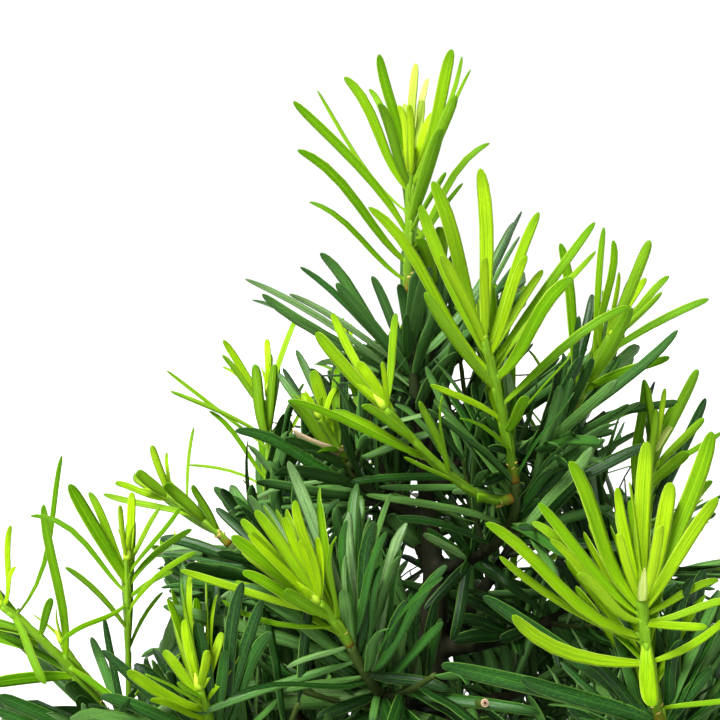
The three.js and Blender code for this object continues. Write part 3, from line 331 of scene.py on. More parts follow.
# Where a leaf would meet another, the source tries other places for it in turn: shorter and at
# another depth for a leaf read from the view; shorter, opened and turned for a leaf by rule.
SEEN_TRIES = list(product((1, 0.9, 0.8), (0, 5, -5, 10, -10, 16, -16, 24, -24)))
RULED_TRIES = list(product((1, 0.82, 0.64), (0, 10, -10), (0, 14, -14, 28, -28, 42, -42)))
OLD_RULES_SEED = 100
FEWEST_RULED = 3
FLAT_FACE = 0.05

# How a leaf read from the view turns to it: by how much it keeps its own face, by how much it
# takes the view's, and from where on its lower side shows
OWN_FACE = 0.3
SHOWN_FACE = 0.9
LOWER_SIDE = -0.25


def seeded(seed):
    """The source's repeatable draws."""
    state = seed

    def draw():
        nonlocal state
        state = (state * 1664525 + 1013904223) & 0xFFFFFFFF
        return state / 4294967296

    return draw


class Stem:
    """A curve through a start, a pull point and an end."""

    def __init__(self, start, pull, end):
        self.start = start
        self.pull = pull
        self.end = end

    def at(self, t):
        s = 1 - t
        return self.start * (s * s) + self.pull * (2 * s * t) + self.end * (t * t)

    def direction(self, t):
        way = (self.pull - self.start) * (1 - t) + (self.end - self.pull) * t
        return way.normalized()

    def length(self):
        middle = self.at(0.5)
        return (self.start - middle).length + (middle - self.end).length


def trunk_at(height):
    k = 0
    while k < len(TRUNK_LINE) - 2 and TRUNK_LINE[k + 1][2] < height:
        k += 1
    low = Vector(TRUNK_LINE[k][:3])
    high = Vector(TRUNK_LINE[k + 1][:3])
    share = min((height - low.z) / (high.z - low.z), 1)
    radius = TRUNK_LINE[k][3] + (TRUNK_LINE[k + 1][3] - TRUNK_LINE[k][3]) * share
    return low.lerp(high, share), radius


def branch_to(end, aim, seed):
    reach = math.hypot(end.x, end.y)
    slope = BRANCH_SLOPES[seed % len(BRANCH_SLOPES)]
    height = end.z - slope * reach - BRANCH_DROP
    height = min(max(height, FIRST_BRANCH_HEIGHT), HIGHEST_BRANCH_HEIGHT)
    start, trunk_radius = trunk_at(height)
    branch = Stem(start, end - aim * (BRANCH_PULL * (start - end).length), end)
    branch.leafy_from = 1 - min(TWIG_SHARE, TWIG_LENGTH / branch.length())
    branch.radius = min(LIMB_RADIUS, LIMB_SHARE * trunk_radius)
    return branch


def square_to(vector, direction):
    """The part of a vector that stands square to a direction, one long."""
    return (vector - direction * vector.dot(direction)).normalized()


def round_stem(direction, turn):
    """The way out from a stem at a turn round it."""
    side = square_to(UP if abs(direction.z) < UPRIGHT else VIEW_SIDE, direction)
    return side * math.cos(turn) + direction.cross(side) * math.sin(turn)


class Leaf:
    """A blade from a place on its stem to its tip, with its upper side towards the stem's end."""

    def __init__(self, stem, share, tip, width, bow=LEAF_BOW, facing=None):
        self.share = share
        self.root = stem.at(share)
        self.tip = tip
        self.width = width
        self.length = (tip - self.root).length
        self.roll = 0
        self.tint = None
        self.youth = None
        along = (tip - self.root).normalized()
        direction = stem.direction(share) if facing is None else facing
        face = direction - along * direction.dot(along)
        if face.length < FLAT_FACE:
            face = -VIEW_FORWARD
        self.face = face.normalized()
        self.arch = self.face * (bow * self.length)

    def at(self, share):
        return self.root.lerp(self.tip, share) + self.arch * (4 * share * (1 - share))

    def turn(self, toward=-VIEW_FORWARD):
        """Rolls the leaf so that the view, or another side, sees it nearly as wide as it is."""
        along = (self.tip - self.root).normalized()
        shown = square_to(toward, along)
        if self.face.dot(shown) < LOWER_SIDE:
            shown = -shown
        face = square_to(self.face * OWN_FACE + shown * SHOWN_FACE, along)
        beside = along.cross(self.face)
        self.roll = math.atan2(-face.dot(beside), face.dot(self.face))


def seen_leaf_places(stem, stem_from, spot, depth):
    """Places that the source tries in turn for a leaf read from the view."""
    px, py, share, width, lean, bow = spot
    t = stem_from + (1 - stem_from) * share
    for length, shift in SEEN_TRIES:
        tip = stem.at(t).lerp(sight(px, py, depth + lean + shift), length)
        leaf = Leaf(stem, t, tip, width, bow)
        leaf.turn()
        leaf.youth = PALE_LEAVES.get((px, py), 0)
        yield leaf


def leaning_leaf(stem, t, out, lean, length, width):
    """A leaf that opens from its stem towards a side by a lean."""
    way = stem.direction(t) * (length * math.cos(lean))
    return Leaf(stem, t, stem.at(t) + way + out * (length * math.sin(lean)), width)


def ruled_leaf(stem, t, turn, lean, length, width):
    """A leaf that stands round a stem by a turn and opens from it by a lean."""
    return leaning_leaf(stem, t, round_stem(stem.direction(t), turn), lean, length, width)


def ruled_leaf_places(stem, stem_from, rule):
    """Places that the source tries in turn for a leaf by rule."""
    share, turn, lean, length, width = rule
    t = stem_from + (1 - stem_from) * share
    for shorter, opened, turned in RULED_TRIES:
        yield ruled_leaf(stem, t, turn + math.radians(turned), lean + math.radians(opened),
                         length * shorter, width)


def new_leaf_rules(seed):
    draw = seeded(seed)
    first = draw() * FULL_TURN
    for k in range(OTHER_SHOOT_LEAVES):
        share = k / (OTHER_SHOOT_LEAVES - 1)
        lean = math.radians(58 - 40 * share + 10 * (draw() - 0.5))
        length = 52 - 14 * share + 10 * (draw() - 0.5)
        yield 0.3 + 0.68 * share, first + k * GOLDEN_ANGLE, lean, length, 5.4 - 0.8 * share


def old_leaf_rules(seed, count):
    draw = seeded(seed)
    first = draw() * FULL_TURN
    for k in range(count):
        share = (k + 0.5) / count
        lean = math.radians(66 - 26 * share + 14 * (draw() - 0.5))
        length = 60 + 12 * (draw() - 0.5)
        width = 5.4 + 1.2 * (draw() - 0.5)
        yield 0.06 + 0.86 * share, first + k * GOLDEN_ANGLE, lean, length, width


class Growth:
    """A branch with its old leafy twig and the new shoot on the twig's end."""

    def __init__(self, name, seed, stem, aim, seen=(), old_depth=0, depth=0):
        self.name = name
        self.seed = seed
        self.stem = stem
        self.branch = branch_to(stem.start, aim, seed)
        self.seen = seen
        self.old_seen = SEEN_OLD_LEAVES.get(name, ())
        self.old_depth = old_depth
        self.depth = depth


def seen_growth(index, name, points, leaves):
    start, middle, end = [sight(*point) for point in points]
    stem = Stem(start, middle * 2 - start * 0.5 - end * 0.5, end)
    return Growth(name, index + 1, stem, stem.direction(0), leaves, points[0][2], points[-1][2])


def other_growth(index, name, angle, height, reach):
    out = Vector((math.cos(math.radians(angle)), math.sin(math.radians(angle)), 0))
    rise = (height - LOWEST_TWIG_END) / (HIGHEST_TWIG_END - LOWEST_TWIG_END)
    climb = LOW_CLIMB + (HIGH_CLIMB - LOW_CLIMB) * rise
    aim = out * math.cos(climb) + UP * math.sin(climb)
    start = out * reach + UP * height
    pull = start + aim * (OTHER_SHOOT_LENGTH * 0.5)
    end = pull + (aim + UP).normalized() * (OTHER_SHOOT_LENGTH * 0.5)
    return Growth(name, index + OTHER_SEED, Stem(start, pull, end), aim)


growths = [seen_growth(index, name, points, leaves)
           for index, (name, (points, leaves)) in enumerate(SEEN_SHOOTS.items())]
growths += [other_growth(index, name, *place)
            for index, (name, place) in enumerate(OTHER_BRANCHES.items())]


def growth_named(name):
    return next(growth for growth in growths if growth.name == name)


def lateral_stem():
    twig = growth_named("centre").branch
    middle, end = [sight(*point) for point in LATERAL_STEM]
    root = twig.at(twig.leafy_from + (1 - twig.leafy_from) * LATERAL_ON_TWIG)
    aim = square_to(middle - root, twig.direction(1))
    start = root + aim * (TWIG_RADIUS + CONTACT_GAP)
    return Stem(start, start + aim * (LATERAL_PULL * (start - middle).length), end)


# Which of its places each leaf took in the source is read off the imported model: a leaf's tip
# is a corner of its node.
SAME_PLACE = 0.05


def corners_of(node):
    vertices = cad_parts[node].data.vertices
    tree = KDTree(len(vertices))
    for k, vertex in enumerate(vertices):
        tree.insert(vertex.co / MM, k)
    tree.balance()
    return tree


def kept_leaves(node, places, stem, stem_from, spots, *depth):
    """A node's leaves, each at the first of its places whose tip is a corner of the node."""
    corners = corners_of(node)
    found = []
    for spot in spots:
        for leaf in places(stem, stem_from, spot, *depth):
            if corners.find(leaf.tip)[2] < SAME_PLACE:
                found.append(leaf)
                break
    return found


for growth in growths:
    node = "old_twig_" + growth.name
    branch = growth.branch
    growth.old_read = kept_leaves(node, seen_leaf_places, branch, branch.leafy_from,
                                  growth.old_seen, growth.old_depth)
    count = max(OLD_TWIG_LEAVES - len(growth.old_seen), FEWEST_RULED)
    rules = old_leaf_rules(growth.seed + OLD_RULES_SEED, count)
    growth.old_ruled = kept_leaves(node, ruled_leaf_places, branch, branch.leafy_from, rules)
    node = "new_shoot_" + growth.name
    if growth.seen:
        growth.new_leaves = kept_leaves(node, seen_leaf_places, growth.stem, 0, growth.seen,
                                        growth.depth)
    else:
        growth.new_leaves = kept_leaves(node, ruled_leaf_places, growth.stem, 0,
                                        new_leaf_rules(growth.seed))

lateral = lateral_stem()
lateral_leaves = kept_leaves("new_shoot_lateral", seen_leaf_places, lateral, 0, LATERAL_LEAVES,
                             LATERAL_STEM[1][2])

# Dark leaves read from the view between the branches, each on the branch that stands nearest to
# its root there: tip px, py, root px, py, width in pixels, tint from deep to light as the leaf
# shows, which paints the shade of deep leaves and the sheen of light ones into their colour
INNER_LEAVES = [
    (452, 493, 500, 497, 8, 0.9), (380, 487, 500, 497, 7, 0.7), (366, 495, 480, 515, 8, 0.85),
    (503, 492, 534, 550, 19, 0.35), (441, 665, 620, 714, 18, 0.42), (520, 678, 640, 694, 17, 0.36),
    (453, 641, 520, 666, 14, 0.3), (483, 596, 610, 668, 15, 0.4), (395, 657, 440, 702, 15, 0.8),
    (415, 653, 455, 700, 16, 0.8), (391, 493, 397, 612, 7, 0.8), (387, 532, 396, 592, 9, 0.6),
    (375, 521, 373, 650, 13, 0.3), (343, 590, 362, 652, 14, 0.85), (382, 566, 405, 645, 14, 0.5),
    (346, 555, 364, 625, 6, 0.9), (347, 520, 350, 580, 9, 0.6), (287, 668, 360, 646, 6, 0.9),
    (200, 714, 375, 655, 9, 0.7), (286, 691, 390, 663, 7, 0.8), (252, 707, 310, 725, 12, 0.2),
    (355, 695, 395, 678, 6, 0.9), (372, 722, 400, 680, 9, 0.7), (243, 582, 262, 705, 14, 0.3),
    (272, 632, 262, 706, 14, 0.5), (308, 660, 312, 722, 8, 0.4), (326, 655, 330, 725, 9, 0.3),
    (249, 505, 360, 470, 5, 0.9), (423, 534, 430, 585, 9, 0.9), (447, 565, 437, 642, 11, 0.5),
    (431, 585, 427, 650, 9, 0.4), (443, 622, 427, 662, 10, 0.6), (483, 643, 492, 692, 12, 0.3),
    (345, 484, 452, 496, 8, 0.6), (441, 618, 452, 668, 9, 0.4), (470, 560, 452, 600, 7, 0.5),
    (600, 500, 612, 560, 9, 0.3), (560, 500, 575, 560, 10, 0.3), (540, 500, 560, 560, 10, 0.2),
    (463, 545, 447, 590, 8, 0.6), (502, 644, 513, 686, 12, 0.3), (427, 528, 540, 594, 10, 0.35),
    (400, 582, 470, 604, 10, 0.1), (450, 592, 520, 612, 11, 0.2), (467, 590, 530, 588, 8, 0.3),
    (548, 600, 582, 648, 15, 0.2), (462, 687, 480, 715, 8, 0.3), (428, 708, 456, 688, 10, 0.7),
    (388, 515, 424, 562, 15, 0.95), (566, 470, 535, 525, 11, 0.3), (553, 470, 528, 520, 9, 0.4),
    (693, 578, 655, 640, 14, 0.2), (712, 668, 662, 712, 14, 0.4), (682, 640, 655, 690, 12, 0.3),
    (100, 696, 180, 706, 13, 0.5), (196, 622, 246, 715, 15, 0.4), (262, 600, 272, 700, 13, 0.35),
    (285, 640, 290, 718, 14, 0.3), (225, 650, 240, 718, 12, 0.5), (317, 718, 398, 682, 12, 0.3),
    (536, 640, 560, 700, 12, 0.25), (575, 655, 600, 710, 13, 0.2), (424, 500, 432, 560, 9, 0.15),
    (446, 640, 470, 700, 11, 0.15), (470, 620, 480, 680, 10, 0.1), (425, 640, 434, 700, 12, 0.1),
    (520, 618, 540, 660, 11, 0.15), (408, 600, 418, 660, 11, 0.3), (556, 560, 580, 610, 11, 0.2),
    (455, 618, 505, 640, 12, 0.2), (500, 606, 545, 640, 12, 0.15), (540, 612, 575, 650, 12, 0.25),
    (470, 655, 450, 612, 12, 0.2), (520, 655, 495, 618, 12, 0.3), (560, 668, 540, 625, 11, 0.2),
    (436, 600, 446, 655, 11, 0.15), (448, 690, 432, 640, 12, 0.2), (500, 640, 540, 655, 12, 0.15),
    (430, 560, 440, 620, 11, 0.1), (444, 520, 436, 575, 9, 0.15), (425, 610, 438, 560, 10, 0.1),
    (478, 520, 450, 560, 9, 0.3), (415, 560, 434, 600, 10, 0.2), (452, 640, 436, 590, 11, 0.25),
    (498, 520, 476, 560, 9, 0.2), (508, 585, 470, 560, 9, 0.2), (462, 575, 440, 545, 9, 0.15),
]
INNER_LEAN = -9
INNER_BOW = 0.02
DEPTH_WORTH = 0.35
NEAR_ENOUGH = 10
BRANCH_PLACES = np.linspace(0.25, 1, 40)


def branch_place(px, py):
    """The foremost branch point that the view shows near a pixel."""
    def miss(place):
        x, y, depth = seen_at(place[0].at(place[1]))
        return max(math.hypot(x - px, y - py) - NEAR_ENOUGH, 0) + DEPTH_WORTH * depth

    return min(((growth.branch, t) for growth in growths for t in BRANCH_PLACES), key=miss)


inner_leaves = []
for tip_x, tip_y, root_x, root_y, width, tint in INNER_LEAVES:
    branch, t = branch_place(root_x, root_y)
    depth = seen_at(branch.at(t))[2] + INNER_LEAN
    leaf = Leaf(branch, t, sight(tip_x, tip_y, depth),
                width * PIXEL_REACH * (VIEW_DISTANCE + depth), INNER_BOW)
    leaf.turn()
    # The read tint carries painted shade for deep leaves and painted sheen for light ones
    leaf.tint = tint
    inner_leaves.append(leaf)

# Added leaves, between those of the source: they fill the crown as thickly as it grows

# Ground that the crown leaves open in the view, as outlines in pixels, where no added leaf shows
OPEN_GROUND = [
    [
        (0, 0), (720, 0), (720, 425), (712, 432), (703, 400), (690, 402), (664, 392),
        (646, 376), (626, 400), (602, 425), (585, 434), (594, 405), (622, 375), (652, 342),
        (640, 318), (606, 328), (590, 302), (578, 300), (581, 345), (560, 352), (536, 374),
        (518, 392), (514, 372), (538, 342), (538, 302), (524, 264), (500, 280), (494, 262),
        (478, 292), (466, 288), (452, 250), (440, 225), (404, 225), (400, 285), (388, 335),
        (350, 345), (335, 360), (305, 362), (290, 390), (280, 420), (240, 428), (245, 445),
        (262, 474), (215, 486), (214, 510), (245, 530), (232, 548), (165, 536), (150, 545),
        (158, 585), (175, 612), (150, 652), (132, 655), (128, 690), (112, 712), (95, 700),
        (60, 664), (20, 625), (0, 610),
    ],
    [(0, 640), (30, 655), (60, 690), (90, 712), (0, 700)],
    [(636, 402), (640, 440), (622, 475), (612, 505), (603, 508), (606, 470), (622, 435)],
    [(658, 490), (668, 470), (700, 455), (704, 480), (690, 500), (665, 503)],
    [(694, 535), (720, 522), (720, 560), (712, 565), (698, 555)],
    [(492, 532), (512, 530), (536, 544), (540, 560), (518, 568), (500, 560)],
    [(458, 566), (474, 556), (492, 562), (500, 578), (470, 582), (458, 592)],
    [(400, 534), (420, 542), (424, 562), (408, 556)],
    [(444, 372), (462, 352), (474, 356), (470, 392), (456, 404), (444, 400)],
    [(532, 418), (552, 392), (552, 410), (540, 432)],
]
OPEN_SHARES = (0.25, 0.45, 0.65, 0.82, 1)
CROWD_SHARES = (0.35, 0.5, 0.65, 0.8, 0.95)
CROWD_CELL = 4
CROWD_GAP = 2.6
SIGHT_CELL = 7
KEPT_SHARES = np.arange(15) / 14
HIDING_SHARES = np.arange(2, 11) / 10
BOX_MARGIN = 2

crowd = {}
bright_cells = {}


def crowd_key(point):
    return tuple(int(value // CROWD_CELL) for value in point)


def take_place(leaf):
    for share in CROWD_SHARES:
        point = leaf.at(share)
        crowd.setdefault(crowd_key(point), []).append(point)


def is_crowded(leaf):
    for share in CROWD_SHARES[1:]:
        point = leaf.at(share)
        for cell in product(*[(key - 1, key, key + 1) for key in crowd_key(point)]):
            if any((other - point).length < CROWD_GAP for other in crowd.get(cell, ())):
                return True
    return False


def sight_cells(leaf, shares):
    """Cell of the view, pixel and depth of a leaf or a stem, at some shares of its length."""
    for share in shares:
        px, py, depth = seen_at(leaf.at(share))
        yield (int(px // SIGHT_CELL), int(py // SIGHT_CELL)), px, py, depth


def keep_bright(leaf):
    """Notes where the view shows a new leaf, so that no added leaf hides it."""
    for cell, _, _, depth in sight_cells(leaf, KEPT_SHARES):
        bright_cells[cell] = max(bright_cells.get(cell, depth), depth)


def hides_bright(leaf):
    return any(depth < bright_cells.get(cell, depth)
               for cell, _, _, depth in sight_cells(leaf, HIDING_SHARES))


def is_inside(px, py, outline):
    inside = False
    for (ax, ay), (bx, by) in zip(outline, outline[1:] + outline[:1]):
        if (ay > py) != (by > py) and px < ax + (bx - ax) * (py - ay) / (by - ay):
            inside = not inside
    return inside


def in_open_ground(leaf, behind_counts=True):
    """Whether a leaf stands in open ground in the view.

    Unless behind_counts, what a new shoot hides of it doesn't count.
    """
    for cell, px, py, depth in sight_cells(leaf, OPEN_SHARES):
        if behind_counts or bright_cells.get(cell, depth) >= depth:
            if any(is_inside(px, py, outline) for outline in OPEN_GROUND):
                return True
    return False


def leaves_box(leaf):
    low = cad_low / MM
    high = cad_high / MM
    return any(
        not low[k] + BOX_MARGIN < leaf.tip[k] < high[k] - BOX_MARGIN for k in range(3)
    )


def may_grow(leaf):
    return not (leaves_box(leaf) or in_open_ground(leaf) or hides_bright(leaf))


class Fill:
    """How added leaves of one kind stand: lean and length from root to end, and width."""

    def __init__(self, lean, length, width, sway=9, stretch=(0.84, 1.14)):
        self.lean = lean
        self.length = length
        self.width = width
        self.sway = sway
        self.stretch = stretch

    def draw(self, share, draws):
        lean = np.interp(share, (0, 1), self.lean) + draws.uniform(-self.sway, self.sway)
        length = np.interp(share, (0, 1), self.length) * draws.uniform(*self.stretch)
        return math.radians(lean), length, draws.uniform(*self.width)


OLD_FILL = Fill((74, 36), (56, 50), (4.2, 5.8))
SIDE_FILL = Fill((66, 24), (46, 36), (3.6, 5.0))
NEW_FILL = Fill((60, 20), (44, 34), (3.4, 4.6))
HEART_FILL = Fill((16, 9), (26, 16), (2.6, 3.8))
DEPTH_FILL = Fill((62, 20), (52, 38), (4.2, 5.4), 8, (0.84, 1.1))
HEART_SHARES = [0.97, 0.98, 0.985, 0.99, 0.995, 1]
LATERAL_HEART_SHARES = [0.97, 0.98, 0.99, 1]
DEPTH_SHARES = np.linspace(0.16, 0.97, 14)
DEPTH_SWING = 0.55
DEPTH_SEED = 300
LATERAL_SEED = 99
LEAF_PITCH = 2.6
TURNS_ASIDE = (0, 16, -16, 34, -34, 52)
SIDE_TWIG_LENGTH = 40
SIDE_TWIG_RADIUS = 1.3
SIDE_TWIG_TIP_RADIUS = 0.9
SIDE_TWIG_PITCH = 20
SIDE_TWIGS_FROM = 0.3
SIDE_TWIGS_SPAN = 0.62
SIDE_TWIG_AHEAD = 0.62
SIDE_TWIG_CLIMB = 0.2
SIDE_TWIG_BEND = 0.4
SIDE_LEAVES_FROM = 0.22
FEWEST_SIDE_LEAVES = 5


def spiral(stem, shares, draws, fill, allowed=may_grow):
    """Leaves round a stem by the golden angle, each turned aside where it would crowd another."""
    turn = draws.uniform(0, FULL_TURN)
    leaves = []
    for share in shares:
        turn += GOLDEN_ANGLE
        form = fill.draw(share, draws)
        for aside in TURNS_ASIDE:
            leaf = ruled_leaf(stem, share, turn + math.radians(aside), *form)
            if allowed(leaf) and not is_crowded(leaf):
                take_place(leaf)
                leaves.append(leaf)
                break
    return leaves


def side_twigs(growth, draws):
    """Short leafy twigs along the bare part of a branch."""
    branch = growth.branch
    found = []
    count = max(int(branch.length() / SIDE_TWIG_PITCH), 2)
    turn = draws.uniform(0, FULL_TURN)
    for k in range(count):
        turn += GOLDEN_ANGLE
        t = SIDE_TWIGS_FROM + SIDE_TWIGS_SPAN * (k + draws.uniform(0.2, 0.8)) / count
        direction = branch.direction(t)
        out = round_stem(direction, turn)
        aim = (direction * SIDE_TWIG_AHEAD + out + UP * SIDE_TWIG_CLIMB).normalized()
        half = SIDE_TWIG_LENGTH * draws.uniform(0.32, 0.52)
        start = branch.at(t)
        pull = start + aim * half
        twig = Stem(start, pull, pull + (aim + UP * SIDE_TWIG_BEND).normalized() * half)
        shares = np.linspace(SIDE_LEAVES_FROM, 1, int(half * 2 / LEAF_PITCH))
        leaves = spiral(twig, shares, draws, SIDE_FILL)
        if len(leaves) >= FEWEST_SIDE_LEAVES:
            found.append((twig, leaves))
    return found


def heart_leaves(stem, shares, draws):
    return spiral(stem, shares, draws, HEART_FILL, lambda leaf: True)


def depth_leaves(stem, draws):
    """Leaves that a shoot holds away from the view, for the sides to show."""
    leaves = []
    for share in DEPTH_SHARES:
        swing = draws.uniform(-DEPTH_SWING, DEPTH_SWING)
        form = DEPTH_FILL.draw(share, draws)
        shown_side = VIEW_SIDE * draws.choice((-1, 1))
        for part in (1, 0.4, 0, -0.4):
            away = VIEW_FORWARD + VIEW_SIDE * (swing * part)
            leaf = leaning_leaf(stem, share, square_to(away, stem.direction(share)), *form)
            if not (leaves_box(leaf) or in_open_ground(leaf, False) or is_crowded(leaf)):
                leaf.turn(shown_side)
                take_place(leaf)
                leaves.append(leaf)
                break
    return leaves


for growth in growths:
    for leaf in growth.new_leaves + growth.old_read + growth.old_ruled:
        take_place(leaf)
    if growth.seen:
        for leaf in growth.new_leaves:
            keep_bright(leaf)
for leaf in lateral_leaves + inner_leaves:
    take_place(leaf)
    keep_bright(leaf)

for growth in growths:
    draws = random.Random(growth.seed)
    branch = growth.branch
    shares = np.arange(0.3, 1, LEAF_PITCH / branch.length())
    growth.old_added = spiral(branch, shares, draws, OLD_FILL)
    growth.side_twigs = side_twigs(growth, draws)
    growth.new_added = spiral(growth.stem, np.linspace(0.16, 0.94, 9), draws, NEW_FILL)
    growth.heart = heart_leaves(growth.stem, HEART_SHARES, draws)

draws = random.Random(LATERAL_SEED)
lateral_added = spiral(lateral, np.linspace(0.25, 0.94, 7), draws, NEW_FILL)
lateral_heart = heart_leaves(lateral, LATERAL_HEART_SHARES, draws)

for growth in growths:
    if growth.seen:
        for leaf in growth.heart:
            keep_bright(leaf)
        keep_bright(growth.stem)
for growth in growths:
    growth.depth_leaves = []
    if growth.seen:
        growth.depth_leaves = depth_leaves(growth.stem, random.Random(growth.seed + DEPTH_SEED))

# Meshes

# Cross-section of a blade: how far across and how high over its middle, upper side first
FINE_SECTION = [
    (-1, 0), (-0.55, 0.05), (-0.12, 0.06), (0, 0.15), (0.12, 0.06), (0.55, 0.05), (1, 0),
    (0.5, -0.12), (0, -0.34), (-0.5, -0.12),
]
PLAIN_SECTION = [(-1, 0), (-0.45, 0.06), (0, 0.14), (0.45, 0.06), (1, 0), (0, -0.3)]
FINE_UPPER = 6
PLAIN_UPPER = 4

# Outlines of a blade: share of its length, and share of its width there
OLD_OUTLINE = [
    (0, 0.22), (0.04, 0.28), (0.09, 0.5), (0.16, 0.74), (0.26, 0.91), (0.4, 0.99),
    (0.58, 1), (0.75, 0.98), (0.87, 0.89), (0.94, 0.72), (0.975, 0.52), (0.993, 0.28),
]
NEW_OUTLINE = [
    (0, 0.46), (0.05, 0.5), (0.12, 0.62), (0.22, 0.77), (0.35, 0.9), (0.5, 0.98),
    (0.66, 1), (0.8, 0.98), (0.9, 0.88), (0.958, 0.68), (0.987, 0.4),
]
FOLDED_OUTLINE = [
    (0, 0.7), (0.12, 0.92), (0.3, 1), (0.5, 0.9), (0.7, 0.66), (0.86, 0.38), (0.95, 0.18),
]
ROOT_SUNK = 0.6

# Chance in a blade: sway to either side and skew of its face, as shares of its length, and roll
# and twist in radians
SWAY = 0.025
SKEW = (-0.15, 0.45)
ROLL = 0.15
TWIST = 0.45
TWIST_MIDDLE = 0.3
THINNEST = 0.45

# Ridges round a tube, and how far they wind from ring to ring
RIDGES = 3
RIDGE_WIND = 0.9

# The bake map has a cell for each part, with four times as many columns as rows
MAP_SHAPE = 4
MAP_MARGIN = 0.06


def closed_skin(heights, ring):
    """Triangles and map of rings at some heights, joined, with a point past each end."""
    faces, corners = [], []
    levels = len(heights)
    last = (levels - 1) * ring
    tip, root = levels * ring, levels * ring + 1
    for k in range(ring):
        after = (k + 1) % ring
        left, right = k / ring, (k + 1) / ring
        middle = (left + right) / 2
        for level in range(levels - 1):
            low = level * ring
            high = low + ring
            v0, v1 = heights[level], heights[level + 1]
            faces += [(low + k, low + after, high + after), (low + k, high + after, high + k)]
            corners += [(left, v0, right, v0, right, v1), (left, v0, right, v1, left, v1)]
        faces += [(last + k, last + after, tip), (after, k, root)]
        corners += [(left, heights[-1], right, heights[-1], middle, 1),
                    (right, 0, left, 0, middle, 0)]
    return np.array(faces), np.array(corners).reshape(-1, 3, 2)


class Form:
    """What all leaves of one make share: stations, cross-section and how they are joined."""

    def __init__(self, outline, section, upper):
        self.shares, self.widths = np.array(outline).T
        self.across, self.heights = np.array(section).T
        stations, ring = len(outline), len(section)
        self.along = np.append(np.repeat(self.shares, ring), (1, 0))
        self.beside = np.append(np.tile(self.across, stations), (0, 0))
        self.faces, self.corners = closed_skin(self.shares, ring)
        self.under = np.repeat(np.arange(ring) >= upper, 2 * stations)


FINE_OLD = Form(OLD_OUTLINE, FINE_SECTION, FINE_UPPER)
FINE_NEW = Form(NEW_OUTLINE, FINE_SECTION, FINE_UPPER)
FOLDED_NEW = Form(FOLDED_OUTLINE, FINE_SECTION, FINE_UPPER)
PLAIN_OLD = Form([OLD_OUTLINE[k] for k in (0, 1, 3, 5, 6, 8, 9, 11)], PLAIN_SECTION, PLAIN_UPPER)
PLAIN_NEW = Form([NEW_OUTLINE[k] for k in (0, 1, 3, 4, 6, 8, 10)], PLAIN_SECTION, PLAIN_UPPER)
PLAIN_FOLDED = Form(FOLDED_OUTLINE, PLAIN_SECTION, PLAIN_UPPER)


def unit(rows):
    return rows / np.linalg.norm(rows, axis=-1, keepdims=True)


def blade_points(leaf, form, draws, fold, thickness):
    """Points of a leaf's blade, which sways, twists and rolls a little by chance."""
    root, tip = np.array(leaf.root), np.array(leaf.tip)
    along = unit(tip - root)
    face = np.array(leaf.face)
    face = unit(face - along * (face @ along))
    beside = np.cross(along, face)
    root = root - along * ROOT_SUNK
    s = form.shares[:, None]
    hump = 4 * s * (1 - s)
    sway = beside * (leaf.length * draws.uniform(-SWAY, SWAY))
    skew = face * (leaf.length * draws.uniform(*SKEW))
    line = root + (tip - root) * s + (np.array(leaf.arch) + sway) * hump
    line = line + skew * (s * (1 - s) * (2 * s - 1))
    headings = unit(np.gradient(line, form.shares, axis=0))
    roll = leaf.roll + draws.uniform(-ROLL, ROLL)
    roll = roll + draws.uniform(-TWIST, TWIST) * (s - TWIST_MIDDLE)
    wide = beside * np.cos(roll) + face * np.sin(roll)
    wide = unit(wide - headings * (wide * headings).sum(1, keepdims=True))
    high = np.cross(wide, headings)
    half = (form.widths * leaf.width / 2)[:, None]
    thick = thickness * np.minimum(1, THINNEST + form.widths)[:, None]
    out = half * form.across
    lift = fold * half * np.abs(form.across) + thick * form.heights
    points = line[:, None] + wide[:, None] * out[..., None] + high[:, None] * lift[..., None]
    return np.concatenate([points.reshape(-1, 3), [tip, root]])


